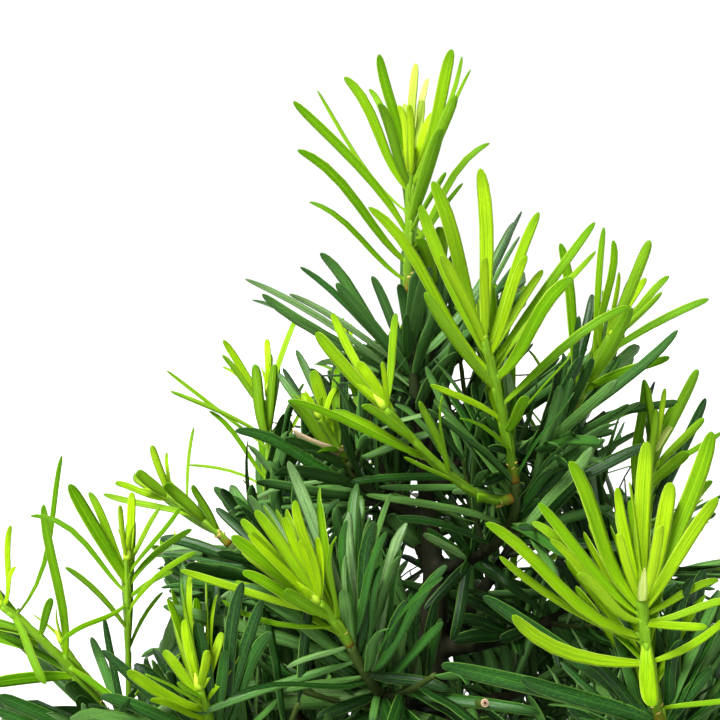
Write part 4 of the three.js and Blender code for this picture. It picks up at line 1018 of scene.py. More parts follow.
class Piece:
    """A mesh put together from parts, each with its own share of the bake map."""

    def __init__(self):
        self.parts = []

    def add(self, points, faces, slots, corners, along, across, tint=0.5, youth=0.0):
        facts = {"along": along, "across": across, "tint": np.full(len(points), tint),
                 "youth": np.full(len(points), youth)}
        self.parts.append((points, faces, slots, corners, facts))

    def leaf(self, leaf, form, draws, fold=0.12, thickness=1.0, slots=(0, 1)):
        points = blade_points(leaf, form, draws, fold, thickness)
        any_tint = draws.random()
        self.add(points, form.faces, np.where(form.under, slots[1], slots[0]), form.corners,
                 form.along, form.beside, any_tint if leaf.tint is None else leaf.tint,
                 leaf.youth or 0)

    def tube(self, line, radii, sides, slot, ridges=0.0, tint=0.5, along_from=0.0):
        """Closed tube along points. Ridges wind round it, as under leaf bases."""
        line = np.array([tuple(point) for point in line])
        headings = unit(np.gradient(line, axis=0))
        across = np.array(UP if abs(headings[0][2]) < UPRIGHT else VIEW_SIDE)
        steps = len(line)
        turns = FULL_TURN * np.arange(sides) / sides
        rings = []
        for k in range(steps):
            across = unit(across - headings[k] * (across @ headings[k]))
            beside = np.cross(headings[k], across)
            radius = radii[k] * (1 + ridges * np.cos(RIDGES * turns + RIDGE_WIND * k))
            rings.append(line[k] + across * (radius * np.cos(turns))[:, None]
                         + beside * (radius * np.sin(turns))[:, None])
        faces, corners = closed_skin(np.arange(steps) / (steps - 1), sides)
        along = np.append(np.repeat(np.linspace(along_from, 1, steps), sides), (1, along_from))
        around = np.append(np.tile(np.cos(turns), steps), (0, 0))
        self.add(np.concatenate([*rings, [line[-1], line[0]]]), faces,
                 np.full(len(faces), slot), corners, along, around, tint)

    def build(self, name, materials):
        """Makes the object, with one cell of the bake map for each part."""
        points, faces, slots, corners, facts = zip(*self.parts)
        firsts = np.cumsum([0] + [len(own) for own in points])
        columns = math.ceil(math.sqrt(len(points) * MAP_SHAPE))
        size = np.array((columns, math.ceil(len(points) / columns)))
        maps = [(np.array((k % columns, k // columns)) + MAP_MARGIN + (1 - 2 * MAP_MARGIN) * own)
                / size for k, own in enumerate(corners)]
        joined = np.concatenate([own + first for own, first in zip(faces, firsts)])
        made = plain_mesh(name, np.concatenate(points), joined, *materials)
        mesh = made.data
        mesh.polygons.foreach_set("material_index", np.concatenate(slots).astype(np.int32))
        layer = mesh.uv_layers.new(name="OFBake")
        layer.uv.foreach_set("vector", np.concatenate(maps).astype(np.float32).ravel())
        for key in facts[0]:
            values = np.concatenate([own[key] for own in facts])
            attribute = mesh.attributes.new(key, "FLOAT", "POINT")
            attribute.data.foreach_set("value", values.astype(np.float32))
        mesh.update()
        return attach(made, "root")


def plain_mesh(name, points, faces, *materials, smooth=True):
    """Object from points in millimetres."""
    mesh = bpy.data.meshes.new(name)
    mesh.from_pydata(np.array(points, float) * MM, [], faces)
    shade_smooth(mesh, smooth)
    for material in materials:
        mesh.materials.append(material)
    mesh.update()
    return linked(name, mesh)


def shade_smooth(mesh, smooth=True):
    mesh.polygons.foreach_set("use_smooth", np.full(len(mesh.polygons), smooth))


def apply_modifiers(made):
    """Replaces an object's mesh by what its modifiers make of it."""
    graph = bpy.context.evaluated_depsgraph_get()
    mesh = bpy.data.meshes.new_from_object(made.evaluated_get(graph))
    made.modifiers.clear()
    made.data = mesh


# Materials

# Where a stem's skin turns from the colour of its root to that of its middle
STEM_MIDDLE = 0.14


def colour(shade):
    """A shade on the screen's scale of 0 to 255, as Blender's linear values."""
    linear = [value / 12.92 if value <= 0.04045 else ((value + 0.055) / 1.055) ** 2.4
              for value in (part / 255 for part in shade)]
    return *linear, 1.0


class Shader:
    """A material or world under construction: each method adds a node and returns its output.

    A shade is a node's output, or red, green and blue as numbers from 0 to 255.
    """

    def __init__(self, name, kind=bpy.data.materials):
        self.owner = kind.new(name)
        self.owner.use_nodes = True
        self.tree = self.owner.node_tree
        self.tree.nodes.clear()

    def node(self, kind, inputs=None, **settings):
        made = self.tree.nodes.new(kind)
        for key, value in settings.items():
            setattr(made, key, value)
        for key, value in (inputs or {}).items():
            if isinstance(value, bpy.types.NodeSocket):
                self.tree.links.new(value, made.inputs[key])
            else:
                made.inputs[key].default_value = value
        return made

    def fact(self, name):
        return self.node("ShaderNodeAttribute", attribute_name=name).outputs["Fac"]

    def math(self, operation, first, second=0.0, clamp=False):
        return self.node("ShaderNodeMath", {0: first, 1: second}, operation=operation,
                         use_clamp=clamp).outputs[0]

    def times(self, value, factor):
        return value if factor == 1 else self.math("MULTIPLY", value, factor)

    def height_of(self, place):
        return self.node("ShaderNodeSeparateXYZ", {0: place}).outputs["Z"]

    def span(self, value, low, high, new_low=0.0, new_high=1.0):
        """A value eased from one range to another."""
        return self.node("ShaderNodeMapRange", {
            "Value": value, "From Min": low, "From Max": high, "To Min": new_low,
            "To Max": new_high,
        }, interpolation_type="SMOOTHSTEP").outputs["Result"]

    def flow(self, across, along, apart=1):
        """A place on a leaf or stem, stretched, and other for each of them."""
        parts = [self.times(self.fact(key), factor)
                 for key, factor in (("across", across), ("along", along), ("tint", apart))]
        return self.node("ShaderNodeCombineXYZ", dict(enumerate(parts))).outputs[0]

    def place(self, stretch=(1, 1, 1)):
        """The row frame's own coordinates, scaled along each axis."""
        spot = self.node("ShaderNodeTexCoord").outputs["Object"]
        return self.node("ShaderNodeVectorMath", {0: spot, 1: stretch},
                         operation="MULTIPLY").outputs[0]

    def noise(self, vector, scale, detail=3.0, roughness=0.55):
        return self.node("ShaderNodeTexNoise", {
            "Vector": vector, "Scale": scale, "Detail": detail, "Roughness": roughness,
        }).outputs["Fac"]

    def grain(self, vector, scale):
        found = self.node("ShaderNodeTexVoronoi", {"Vector": vector, "Scale": scale})
        return found.outputs["Distance"]

    def ramp(self, value, stops):
        """Stops are each a place on the ramp and a shade."""
        made = self.node("ShaderNodeValToRGB", {"Fac": value})
        elements = made.color_ramp.elements
        while len(elements) < len(stops):
            elements.new(0.5)
        for element, (position, shade) in zip(elements, stops):
            element.position = position
            element.color = colour(shade)
        return made.outputs["Color"]

    def mix(self, share, first, second):
        first, second = [colour(shade) if isinstance(shade, tuple) else shade
                         for shade in (first, second)]
        return self.node("ShaderNodeMix", {0: share, 6: first, 7: second},
                         data_type="RGBA").outputs[2]

    def over(self, base, shade, value, low, high, low_share, high_share, part=None):
        """Lays a shade over a base, by a share that changes with a value."""
        share = self.span(value, low, high, low_share, high_share)
        if part is not None:
            share = self.math("MULTIPLY", part, share)
        return self.mix(share, base, shade)

    def bump(self, height, strength, distance):
        return self.node("ShaderNodeBump", {
            "Height": height, "Strength": strength, "Distance": distance,
        }).outputs["Normal"]

    def finish(self, base, roughness, specular, normal=None, translucent=0.0, glow=None):
        """Ends the material with a Principled surface, which may let light through."""
        inputs = {"Base Color": base, "Roughness": roughness, "Specular IOR Level": specular}
        if normal is not None:
            inputs["Normal"] = normal
        shader = self.node("ShaderNodeBsdfPrincipled", inputs).outputs["BSDF"]
        if translucent:
            through = self.node("ShaderNodeBsdfTranslucent", {"Color": glow}).outputs[0]
            inputs = {0: translucent, 1: shader, 2: through}
            shader = self.node("ShaderNodeMixShader", inputs).outputs[0]
        self.node("ShaderNodeOutputMaterial", {"Surface": shader})
        return self.owner


def blade_material(name, shades, midrib, margin, streak, roughness, specular, translucent,
                   glow, young=(), lines=0.6, flecked=0.2):
    """Leaf skin: shade by leaf, streaks along the blade, a midrib and a thin margin."""
    shader = Shader(name)
    tint, along, across, youth = [shader.fact(key)
                                  for key in ("tint", "along", "across", "youth")]
    aside = shader.math("ABSOLUTE", across)
    streaks = shader.noise(shader.flow(3.4, 1.6, 61.0), 1.6, 3.0)
    veins = shader.noise(shader.flow(11.0, 1.2), 1.0, 2.0)
    flecks = shader.noise(shader.flow(6.0, 38.0), 1.6, 2.0)
    ripe = shader.span(youth, 0.2, 0.9, 1.0, 0.2)
    base = shader.ramp(tint, shades)
    if young:
        pale_base = shader.span(along, 0.0, 0.35, 0.25, 0.0)
        paleness = shader.math("ADD", shader.span(youth, 0.0, 0.6), pale_base, True)
        base = shader.mix(paleness, base, young[0])
        base = shader.over(base, young[1], youth, 0.7, 0.95, 0.0, 1.0)
    base = shader.over(base, streak, streaks, 0.35, 0.75, 0.0, 0.55, ripe)
    base = shader.over(base, midrib, veins, 0.5, 0.72, 0.0, 0.36)
    base = shader.over(base, streak, veins, 0.26, 0.46, 0.5, 0.0, ripe)
    base = shader.over(base, midrib, flecks, 0.52, 0.68, 0.0, flecked)
    base = shader.over(base, streak, flecks, 0.32, 0.48, flecked, 0.0, ripe)
    base = shader.over(base, midrib, aside, 0.03, 0.1, lines * 0.5, 0.0)
    base = shader.over(base, streak, along, 0.8, 1.0, 0.0, 0.4, ripe)
    base = shader.over(base, margin, aside, 0.8, 0.95, 0.0, lines)
    height = shader.math("ADD", veins, shader.span(aside, 0.04, 0.16, 0.9, 0.0))
    roughness = shader.span(streaks, 0.2, 0.8, roughness - 0.07, roughness + 0.08)
    return shader.finish(base, roughness, specular, shader.bump(height, 0.5, 0.0002),
                         translucent, shader.mix(0.55, base, glow))


# Old leaf tones by tint: the leaves' own spread of greens, with painted shade at the near-black end
# and painted sheen at the pale grey-green end
old_upper = blade_material(
    "old_leaf_upper",
    [(0, (2, 24, 3)), (0.3, (16, 54, 10)), (0.6, (46, 98, 28)), (0.85, (98, 144, 66)),
     (1, (144, 180, 118))],
    midrib=(64, 116, 40), margin=(118, 168, 70), streak=(4, 26, 5), roughness=0.36,
    specular=0.2, translucent=0.08, glow=(96, 160, 20), flecked=0.45)
old_under = blade_material(
    "old_leaf_under",
    [(0, (44, 84, 32)), (0.6, (66, 112, 48)), (1, (94, 138, 70))],
    midrib=(104, 150, 74), margin=(112, 160, 66), streak=(38, 74, 28), roughness=0.55,
    specular=0.15, translucent=0.12, glow=(100, 160, 30))
new_upper = blade_material(
    "new_leaf_upper",
    [(0, (56, 108, 1)), (0.5, (106, 154, 3)), (1, (174, 206, 20))],
    midrib=(146, 204, 26), margin=(204, 238, 84), streak=(54, 112, 1), roughness=0.42,
    specular=0.1, translucent=0.36, glow=(180, 232, 2),
    young=((190, 226, 10), (248, 246, 150)), lines=0.75)
new_under = blade_material(
    "new_leaf_under",
    [(0, (94, 144, 12)), (1, (146, 190, 34))],
    midrib=(164, 210, 66), margin=(180, 220, 72), streak=(78, 134, 8), roughness=0.5,
    specular=0.1, translucent=0.36, glow=(180, 232, 6),
    young=((194, 226, 24), (246, 246, 160)), lines=0.5)


def stem_material(name, low, middle, high, specular=0.15):
    """Stem skin whose colour changes from its root to its end, with fine lengthwise grooves."""
    shader = Shader(name)
    mottle = shader.noise(shader.flow(4.0, 5.0, 23.0), 2.0, 4.0)
    shift = shader.times(shader.math("SUBTRACT", mottle, 0.5), 0.16)
    where = shader.math("ADD", shader.fact("along"), shift)
    base = shader.ramp(where, [(0, low), (STEM_MIDDLE, middle), (1, high)])
    base = shader.over(base, middle, mottle, 0.45, 0.75, 0.0, 0.5)
    grooves = shader.noise(shader.flow(9.0, 3.0), 2.0, 2.0)
    return shader.finish(base, shader.span(mottle, 0.2, 0.8, 0.42, 0.62), specular,
                         shader.bump(grooves, 0.5, 0.0003))


new_stem = stem_material("new_stem", (118, 78, 22), (84, 122, 18), (114, 158, 24))
# Old twigs are near-black green-brown: their own bark colour, darkened with painted shade of the
# crown's inside
old_stem = stem_material("old_stem", (26, 28, 16), (34, 42, 18), (58, 76, 26))
scale_skin = stem_material("bud_scale", (120, 78, 30), (150, 104, 44), (196, 176, 90), 0.25)
bud_skin = stem_material("bud_skin", (134, 184, 20), (180, 214, 44), (208, 230, 84))
dry_skin = stem_material("dry_leaf", (158, 118, 80), (214, 182, 144), (232, 206, 172), 0.1)


def cut_wood_material():
    """End of a cut twig, from its rim to its middle: bark, pale wood, a ring and the pith."""
    shader = Shader("cut_wood")
    wear = shader.noise(shader.flow(1, 1, 0), 6.0, 3.0)
    where = shader.math("ADD", shader.fact("along"), shader.span(wear, 0.3, 0.7, -0.04, 0.04))
    base = shader.ramp(where, [
        (0, (150, 118, 92)), (0.26, (206, 180, 150)), (0.42, (50, 34, 24)),
        (0.56, (190, 160, 126)), (0.7, (150, 118, 86)), (0.82, (30, 22, 16)),
    ])
    return shader.finish(base, 0.75, 0.15, shader.bump(wear, 0.4, 0.0002))


cut_wood = cut_wood_material()

# Foliage pieces

DRY_LEAF_SHOOT = "left_centre"
DRY_LEAF_FROM = 0.12
DRY_LEAF_TIP = (292, 428)
DRY_LEAF_LEAN = -26
DRY_LEAF_WIDTH = 6.4
DRY_LEAF_BOW = -0.08
CUT_TWIG_ROOT = (462, 700)
CUT_TWIG_END = (485, 703)
CUT_TWIG_REACH = 76
CUT_TWIG_RADIUS = 1.35
CUT_TWIG_STEPS = 12
CUT_FACE_RINGS = 6
CUT_FACE_RISE = 0.05

# Folds of a blade about its midrib: how far its edges rise, as a share of half its width
OLD_FOLD = -0.05
NEW_FOLD = 0.16
HEART_FOLD = 0.4
LEADER_HEART_FOLD = 0.3
DRY_FOLD = 0.3
SCALE_FOLD = 0.5
PLAIN_THICKNESS = 1.6
STILL_FOLDED = 0.95
HEART_YOUTH = (0.4, 0.75)
LEADER_HEART_BOW = 0.02
INNER_SEED = 5
REMNANTS_SEED = 7
FOOT_RIDGE_LENGTH = 9
FOOT_RIDGE_END = 0.02
FOOT_RIDGE_RADII = [0.75, 0.95, 0.85, 0.65, 0.45, 0.2]
BUD_RADII = [1.1, 1.5, 1.5, 1.25, 0.9, 0.5, 0.12]
BUD_SCALES = 7
SCALE_FROM = 0.01
SCALE_PITCH = 0.012
SCALE_LEAN = math.radians(24)
SCALE_LENGTH = 5.5
SCALE_WIDTH = 2.6
SCALE_THICKNESS = 0.8
NEW_SEED = 500
OLD_SEED = 900


def stem_line(stem, start, stop, pitch=2.2):
    steps = max(int(stem.length() * (stop - start) / pitch), 4)
    return [stem.at(start + (stop - start) * k / steps) for k in range(steps + 1)]


def knotted(line, radius, end_radius, draws):
    """Radii along a stem, from one radius to another, that swell or narrow a little by chance at
    each step.
    """
    shares = np.linspace(0, 1, len(line))
    swell = np.array([1 + draws.uniform(-0.05, 0.07) for _ in line])
    return (radius + (end_radius - radius) * shares) * swell


def add_stem(piece, line, radius, end_radius, sides, draws, ridges=0.07):
    radii = knotted(line, radius, end_radius, draws)
    piece.tube(line, radii, sides, 2, ridges, tint=draws.random())


def leaf_foot(piece, stem, leaf, slim):
    """The ridge by which a leaf's base runs down its stem."""
    drop = min(FOOT_RIDGE_LENGTH / stem.length(), leaf.share - FOOT_RIDGE_END)
    if drop < FOOT_RIDGE_END:
        return
    line = [leaf.at(0.05)]
    steps = len(FOOT_RIDGE_RADII) - 1
    for k in range(steps):
        t = leaf.share - drop * k / (steps - 1)
        out = square_to(leaf.tip - leaf.root, stem.direction(t))
        line.append(stem.at(t) + out * (slim * (SHOOT_TIP_RADIUS + 0.5 * (1 - t))))
    radii = [slim * radius for radius in FOOT_RIDGE_RADII]
    piece.tube(line, radii, 6, 2, tint=leaf.tint, along_from=0.6)


# How much lighter or deeper than the others a shoot's leaves are
SHOOT_TINT = {
    "leader": -0.1, "centre": 0.1, "near_right": 0.15, "left_upright": -0.15, "far_left": -0.2,
    "left_bright": 0.2, "lower_left": 0.3, "left_back": 0.15, "upper_left": 0.1,
    "left_centre": 0.1, "lateral": 0.1,
}

# How slim a shoot's stem is beside the others
SLIM_STEMS = {"left_upright": 0.62, "left_back": 0.8, "upper_left": 0.85, "lower_left": 0.85}


def shade_new(leaf, stem, name, draws):
    """Pale and yellow at the heart of a shoot, deeper green down its stem."""
    share = (leaf.root - stem.start).length / max((stem.end - stem.start).length, 1)
    upright = (leaf.tip - leaf.root).normalized().dot(stem.direction(1))
    inmost = np.interp(share, (0.8, 1), (0, 1)) * np.interp(upright, (0.84, 0.985), (0, 1))
    short = np.interp(leaf.length, (16, 34), (0.5, 0))
    if leaf.youth is None:
        leaf.youth = min(0.5 * inmost + short, 1)
    tint = 0.1 + 0.35 * share + 0.45 * draws.random() + SHOOT_TINT.get(name, 0)
    leaf.tint = min(max(tint, 0), 1)


def leader_heart(stem):
    """The leader's own heart leaves, read from the view."""
    leaves = []
    for px, py, lean, width, youth in HEART_LEAVES:
        tip = sight(px, py, seen_at(stem.end)[2] + lean)
        leaf = Leaf(stem, HEART_SHARES[0], tip, width, LEADER_HEART_BOW, stem.direction(1))
        leaf.turn()
        leaf.youth = youth
        leaves.append(leaf)
    return leaves


def build_new(name, seed, stem, read, added, heart, in_depth=()):
    draws = random.Random(seed + NEW_SEED)
    piece = Piece()
    slim = SLIM_STEMS.get(name, 1)
    add_stem(piece, stem_line(stem, 0, 1, 1.6), slim * (SHOOT_RADIUS + 0.2),
             slim * (SHOOT_TIP_RADIUS + 0.35), 9, draws, 0.1)
    aim = stem.direction(1)
    steps = len(BUD_RADII) - 1
    bud = [stem.end + aim * (BUD_LENGTH * k / steps) for k in range(steps + 1)]
    piece.tube(bud, BUD_RADII, 8, 4, ridges=0.08)
    for k in range(BUD_SCALES):
        scale = ruled_leaf(stem, SCALE_FROM + SCALE_PITCH * k, k * GOLDEN_ANGLE, SCALE_LEAN,
                           SCALE_LENGTH, SCALE_WIDTH)
        piece.leaf(scale, PLAIN_OLD, draws, SCALE_FOLD, SCALE_THICKNESS, (3, 3))
    rows = [
        (read, FINE_NEW, NEW_FOLD, 1),
        (added, PLAIN_NEW, NEW_FOLD, PLAIN_THICKNESS),
        (heart, PLAIN_FOLDED, HEART_FOLD, 1),
        (in_depth, FINE_NEW, NEW_FOLD, 1),
        (leader_heart(stem) if name == "leader" else (), FINE_NEW, LEADER_HEART_FOLD, 1),
    ]
    for leaves, form, fold, thickness in rows:
        for leaf in leaves:
            shade_new(leaf, stem, name, draws)
            if leaves is heart:
                leaf.youth = draws.uniform(*HEART_YOUTH)
            own_form = FOLDED_NEW if leaf.youth > STILL_FOLDED else form
            piece.leaf(leaf, own_form, draws, fold, thickness)
            if fold == NEW_FOLD:
                leaf_foot(piece, stem, leaf, slim)
    made = piece.build("leaves_new_" + name, [new_upper, new_under, new_stem, scale_skin, bud_skin])
    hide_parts("new_shoot_" + name)


def add_old_leaves(piece, leaves, draws, roll=0.6, form=PLAIN_OLD, thickness=PLAIN_THICKNESS):
    for leaf in leaves:
        if roll:
            leaf.roll = draws.uniform(-roll, roll)
        piece.leaf(leaf, form, draws, OLD_FOLD, thickness)


def build_old(growth):
    draws = random.Random(growth.seed + OLD_SEED)
    piece = Piece()
    line = stem_line(growth.branch, growth.branch.leafy_from - 0.01, 1)
    add_stem(piece, line, TWIG_RADIUS, TWIG_TIP_RADIUS, 9, draws)
    add_old_leaves(piece, growth.old_read, draws, 0, FINE_OLD, 1)
    add_old_leaves(piece, growth.old_ruled, draws, 0.5, FINE_OLD, 1)
    add_old_leaves(piece, growth.old_added, draws)
    for twig, leaves in growth.side_twigs:
        add_stem(piece, stem_line(twig, 0, 1), SIDE_TWIG_RADIUS, SIDE_TWIG_TIP_RADIUS, 7, draws)
        add_old_leaves(piece, leaves, draws)
    made = piece.build("leaves_old_" + growth.name, [old_upper, old_under, old_stem])
    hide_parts("old_twig_" + growth.name)


def build_inner():
    piece = Piece()
    add_old_leaves(piece, inner_leaves, random.Random(INNER_SEED), 0, FINE_OLD, 1)
    made = piece.build("leaves_inner", [old_upper, old_under, old_stem])


def build_remnants():
    """A dry leaf that hangs in a shoot's axil, and the cut end of a pruned twig."""
    draws = random.Random(REMNANTS_SEED)
    piece = Piece()
    stem = growth_named(DRY_LEAF_SHOOT).stem
    tip = sight(*DRY_LEAF_TIP, seen_at(stem.at(DRY_LEAF_FROM))[2] + DRY_LEAF_LEAN)
    leaf = Leaf(stem, DRY_LEAF_FROM, tip, DRY_LEAF_WIDTH, DRY_LEAF_BOW, stem.direction(0))
    leaf.turn()
    piece.leaf(leaf, FOLDED_NEW, draws, DRY_FOLD, PLAIN_THICKNESS)
    branch, t = branch_place(*CUT_TWIG_ROOT)
    start = branch.at(t)
    end = sight(*CUT_TWIG_END, seen_at(start)[2] - CUT_TWIG_REACH)
    line = [start.lerp(end, k / CUT_TWIG_STEPS) for k in range(CUT_TWIG_STEPS + 1)]
    piece.tube(line, knotted(line, TWIG_RADIUS, CUT_TWIG_RADIUS, draws), 16, 2, ridges=0.04)
    aim = (end - start).normalized()
    face = [end + aim * (CUT_FACE_RISE * k) for k in range(CUT_FACE_RINGS)]
    radii = [CUT_TWIG_RADIUS * (1.1 - 0.2 * k) for k in range(CUT_FACE_RINGS)]
    piece.tube(face, radii, 16, 3)
    made = piece.build("dry_leaf_and_cut_twig", [dry_skin, dry_skin, old_stem, cut_wood])


build_inner()
build_remnants()
for growth in growths:
    build_old(growth)
    build_new(growth.name, growth.seed, growth.stem, growth.new_leaves, growth.new_added,
              growth.heart, growth.depth_leaves)
build_new("lateral", LATERAL_SEED, lateral, lateral_leaves, lateral_added, lateral_heart)

# Wood

SOIL_TOP = 76
SOIL_MOUND = 9
ROOT_COUNT = 6
ROOT_REACH = 52
ROOT_RADIUS = 8
ROOT_TIP_RADIUS = 2.6
ROOT_RULES_SEED = 40
ROOT_PLACES = [(0.12, 12), (0.42, 10.5), (0.72, 4.5), (1, -3)]
BARK_VOXEL = 1.15
BARK_EASED = 4
FURROW_REACH = 0.16
FURROW_DEPTH = 5.76
CRACK_REACH = 0.1
CRACK_DEPTH = 4


def smooth_rows(rows, steps):
    """Rows of numbers as a smooth curve through them, with steps between each two."""
    rows = np.array(rows, float)
    padded = np.concatenate([2 * rows[:1] - rows[1:2], rows, 2 * rows[-1:] - rows[-2:-1]])
    made = []
    for k in range(len(rows) - 1):
        a, b, c, d = padded[k:k + 4]
        for t in np.arange(steps) / steps:
            made.append(0.5 * (2 * b + (c - a) * t + (2 * a - 5 * b + 4 * c - d) * t * t
                               + (3 * b - 3 * c + d - a) * t ** 3))
    return np.array(made + [rows[-1]])


def root_rows(k):
    """A surface root of the source, as places and radii from the trunk outwards."""
    draw = seeded(ROOT_RULES_SEED + k)
    angle = (k + 0.5 * (draw() - 0.5)) * FULL_TURN / ROOT_COUNT
    reach = ROOT_REACH * (0.8 + 0.4 * draw())
    last = len(ROOT_PLACES) - 1
    return [
        (math.cos(angle) * reach * share, math.sin(angle) * reach * share, SOIL_TOP + rise,
         ROOT_RADIUS + (ROOT_TIP_RADIUS - ROOT_RADIUS) * step / last)
        for step, (share, rise) in enumerate(ROOT_PLACES)
    ]


def stretched(point, across, along):
    return Vector((point.x * across, point.y * across, point.z * along))


def bark_relief(point):
    """How far the bark stands out at a place: swells, furrowed plates and fine cracks."""
    line = np.array(TRUNK_LINE)
    x, y, radius = [np.interp(point.z, line[:, 2], line[:, k]) for k in (0, 1, 3)]
    from_axis = math.hypot(point.x - x, point.y - y)
    on_trunk = max(0.0, 1 - max(from_axis - radius * 1.15, 0) / 5) * min(radius / 11, 1.2)
    swell = noise.noise(point * 0.045) * 1.1 + noise.noise(point * 0.11) * 0.5
    plates = abs(noise.noise(stretched(point, 0.33, 0.075)))
    cracks = abs(noise.noise(stretched(point, 0.8, 0.2) + UP * 40))
    furrow = FURROW_DEPTH * max(FURROW_REACH - plates, 0)
    crack = CRACK_DEPTH * max(CRACK_REACH - cracks, 0)
    relief = swell + 0.55 - furrow - crack
    return relief * on_trunk * 0.8 + (1 - on_trunk) * 0.28 * noise.noise(point * 0.35)


def build_wood(material):
    """Trunk, roots and limbs grown into one skin, with furrowed bark."""
    wood = Piece()
    trunk = smooth_rows(TRUNK_LINE, 8)
    wood.tube(trunk[:, :3], trunk[:, 3], 28, 0)
    for k in range(ROOT_COUNT):
        root = smooth_rows(root_rows(k), 7)
        wood.tube(root[:, :3], root[:, 3], 14, 0)
    for growth in growths:
        branch = growth.branch
        line = stem_line(branch, 0, branch.leafy_from, 3)
        wood.tube(line, np.linspace(branch.radius, TWIG_RADIUS, len(line)), 12, 0)
    made = wood.build("trunk_roots_and_limbs", [material])
    skin = made.modifiers.new("skin", "REMESH")
    skin.mode = "VOXEL"
    skin.voxel_size = BARK_VOXEL * MM
    eased = made.modifiers.new("eased", "SMOOTH")
    eased.factor = 0.5
    eased.iterations = BARK_EASED
    apply_modifiers(made)
    mesh = made.data
    places, normals = np.zeros((2, len(mesh.vertices) * 3), np.float32)
    mesh.vertices.foreach_get("co", places)
    mesh.vertex_normals.foreach_get("vector", normals)
    places, normals = places.reshape(-1, 3), normals.reshape(-1, 3)
    relief = np.array([bark_relief(Vector(place)) for place in places / MM])
    mesh.vertices.foreach_set("co", (places + normals * relief[:, None] * MM).ravel())
    shade_smooth(mesh)
    mesh.update()
    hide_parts("trunk_and_branches")


def bark_material():
    shader = Shader("grey_brown_bark")
    along_grain = shader.place((1, 1, 0.22))
    plates = shader.grain(along_grain, 210.0)
    streaks = shader.noise(along_grain, 260.0, 5.0, 0.6)
    patches = shader.noise(shader.place(), 38.0, 3.0)
    height = shader.height_of(shader.place())
    base = shader.ramp(streaks, [
        (0.28, (52, 42, 32)), (0.45, (96, 80, 62)), (0.62, (132, 114, 92)),
        (0.78, (164, 148, 124)),
    ])
    base = shader.over(base, (112, 84, 58), patches, 0.42, 0.66, 0.0, 0.65)
    base = shader.over(base, (48, 38, 30), plates, 0.25, 0.02, 0.0, 0.5)
    # Painted shade: from 0.15 m to 0.25 m up, the bark turns near-black green, as the crown shades
    # the trunk inside it
    base = shader.over(base, (8, 18, 4), height, 0.15, 0.25, 0.0, 0.95)
    relief = shader.math("ADD", shader.times(streaks, 0.7), plates)
    return shader.finish(base, shader.span(streaks, 0.2, 0.8, 0.95, 0.72), 0.1,
                         shader.bump(relief, 0.7, 0.0008))


# Pot and soil

POT_LENGTH = 300
POT_WIDTH = 215
POT_HEIGHT = 84
POT_CORNER = 24
LIP_DEPTH = 5
LIP_WIDTH = 12
POT_TAPER = 12
INNER_TAPER = 8
FLOOR_HEIGHT = 15
FLOOR_EDGE = 2
FOOT_HEIGHT = 7
DRAIN_RADIUS = 10
DRAIN_SPACING = 130
DRAIN_SIDES = 40
CORNER_STEPS = 10
INNER_CORNER = POT_CORNER - LIP_WIDTH

# Quarters of the pot, by the signs of X and Y, counterclockwise
QUARTERS = {"back_right": (1, 1), "back_left": (-1, 1), "front_left": (-1, -1),
            "front_right": (1, -1)}

# Wall of the pot from its foot to its lip: share of the taper, and height
WALL_PROFILE = [
    (1.2, 7), (1.13, 7.6), (1.02, 10), (0.9, 15), (0.68, 24), (0.42, 35), (0.2, 50), (0.06, 63),
    (0.0, 70),
]

# Lip of the pot, from outside to inside: inset from the pot's outline, and height
LIP_PROFILE = [
    (3.6, 71.2), (0.9, 71.9), (0.2, 72.8), (0, 74), (0, 78), (0, 81), (0.35, 82.6), (1.2, 83.6),
    (2.6, 84), (6, 84), (9.4, 84), (10.8, 83.6), (11.7, 82.6), (12, 81),
]

# Outline of the foot under the corner at +X +Y
FOOT_OUTLINE = [(81, 88.5), (117, 88.5), (124, 87), (129, 83), (131, 76), (131, 38.5),
                (119, 38.5), (119, 72), (115, 76.5), (81, 76.5)]
FOOT_TOP = FOOT_HEIGHT + 2
FOOT_EDGE = 0.8


def box_ring(inset, corner, z, share=1):
    """Ring of a rectangle with rounded corners, set in from the pot's widest outline."""
    half_length = (POT_LENGTH / 2 - inset) * share
    half_width = (POT_WIDTH / 2 - inset) * share
    ring = []
    for quarter, (sign_x, sign_y) in enumerate(QUARTERS.values()):
        for step in range(CORNER_STEPS + 1):
            turn = (quarter + step / CORNER_STEPS) * math.pi / 2
            ring.append((sign_x * (half_length - corner) + corner * math.cos(turn),
                         sign_y * (half_width - corner) + corner * math.sin(turn), z))
    return ring


def loft(rings):
    """Closed skin over rings of equal length, filled flat at both ends."""
    count = len(rings[0])
    faces = []
    for level in range(len(rings) - 1):
        for k in range(count):
            a = level * count + k
            b = level * count + (k + 1) % count
            faces.append((a, b, b + count, a + count))
    last = (len(rings) - 1) * count
    faces.append(tuple(range(count))[::-1])
    faces.append(tuple(range(last, last + count)))
    return [point for ring in rings for point in ring], faces


def pot_profile():
    """Rings of the pot from its foot, up its wall, over its lip and down to its floor."""
    rings = [box_ring(LIP_DEPTH + POT_TAPER * share, POT_CORNER - LIP_DEPTH, z)
             for share, z in WALL_PROFILE]
    rings += [box_ring(inset, POT_CORNER - inset, z) for inset, z in LIP_PROFILE]
    for z in (70, 40, FLOOR_HEIGHT + FLOOR_EDGE):
        taper = INNER_TAPER * (POT_HEIGHT - z) / (POT_HEIGHT - FLOOR_HEIGHT)
        rings.append(box_ring(LIP_WIDTH + taper, INNER_CORNER, z))
    rings.append(box_ring(LIP_WIDTH + INNER_TAPER + FLOOR_EDGE, INNER_CORNER - FLOOR_EDGE,
                          FLOOR_HEIGHT))
    return rings


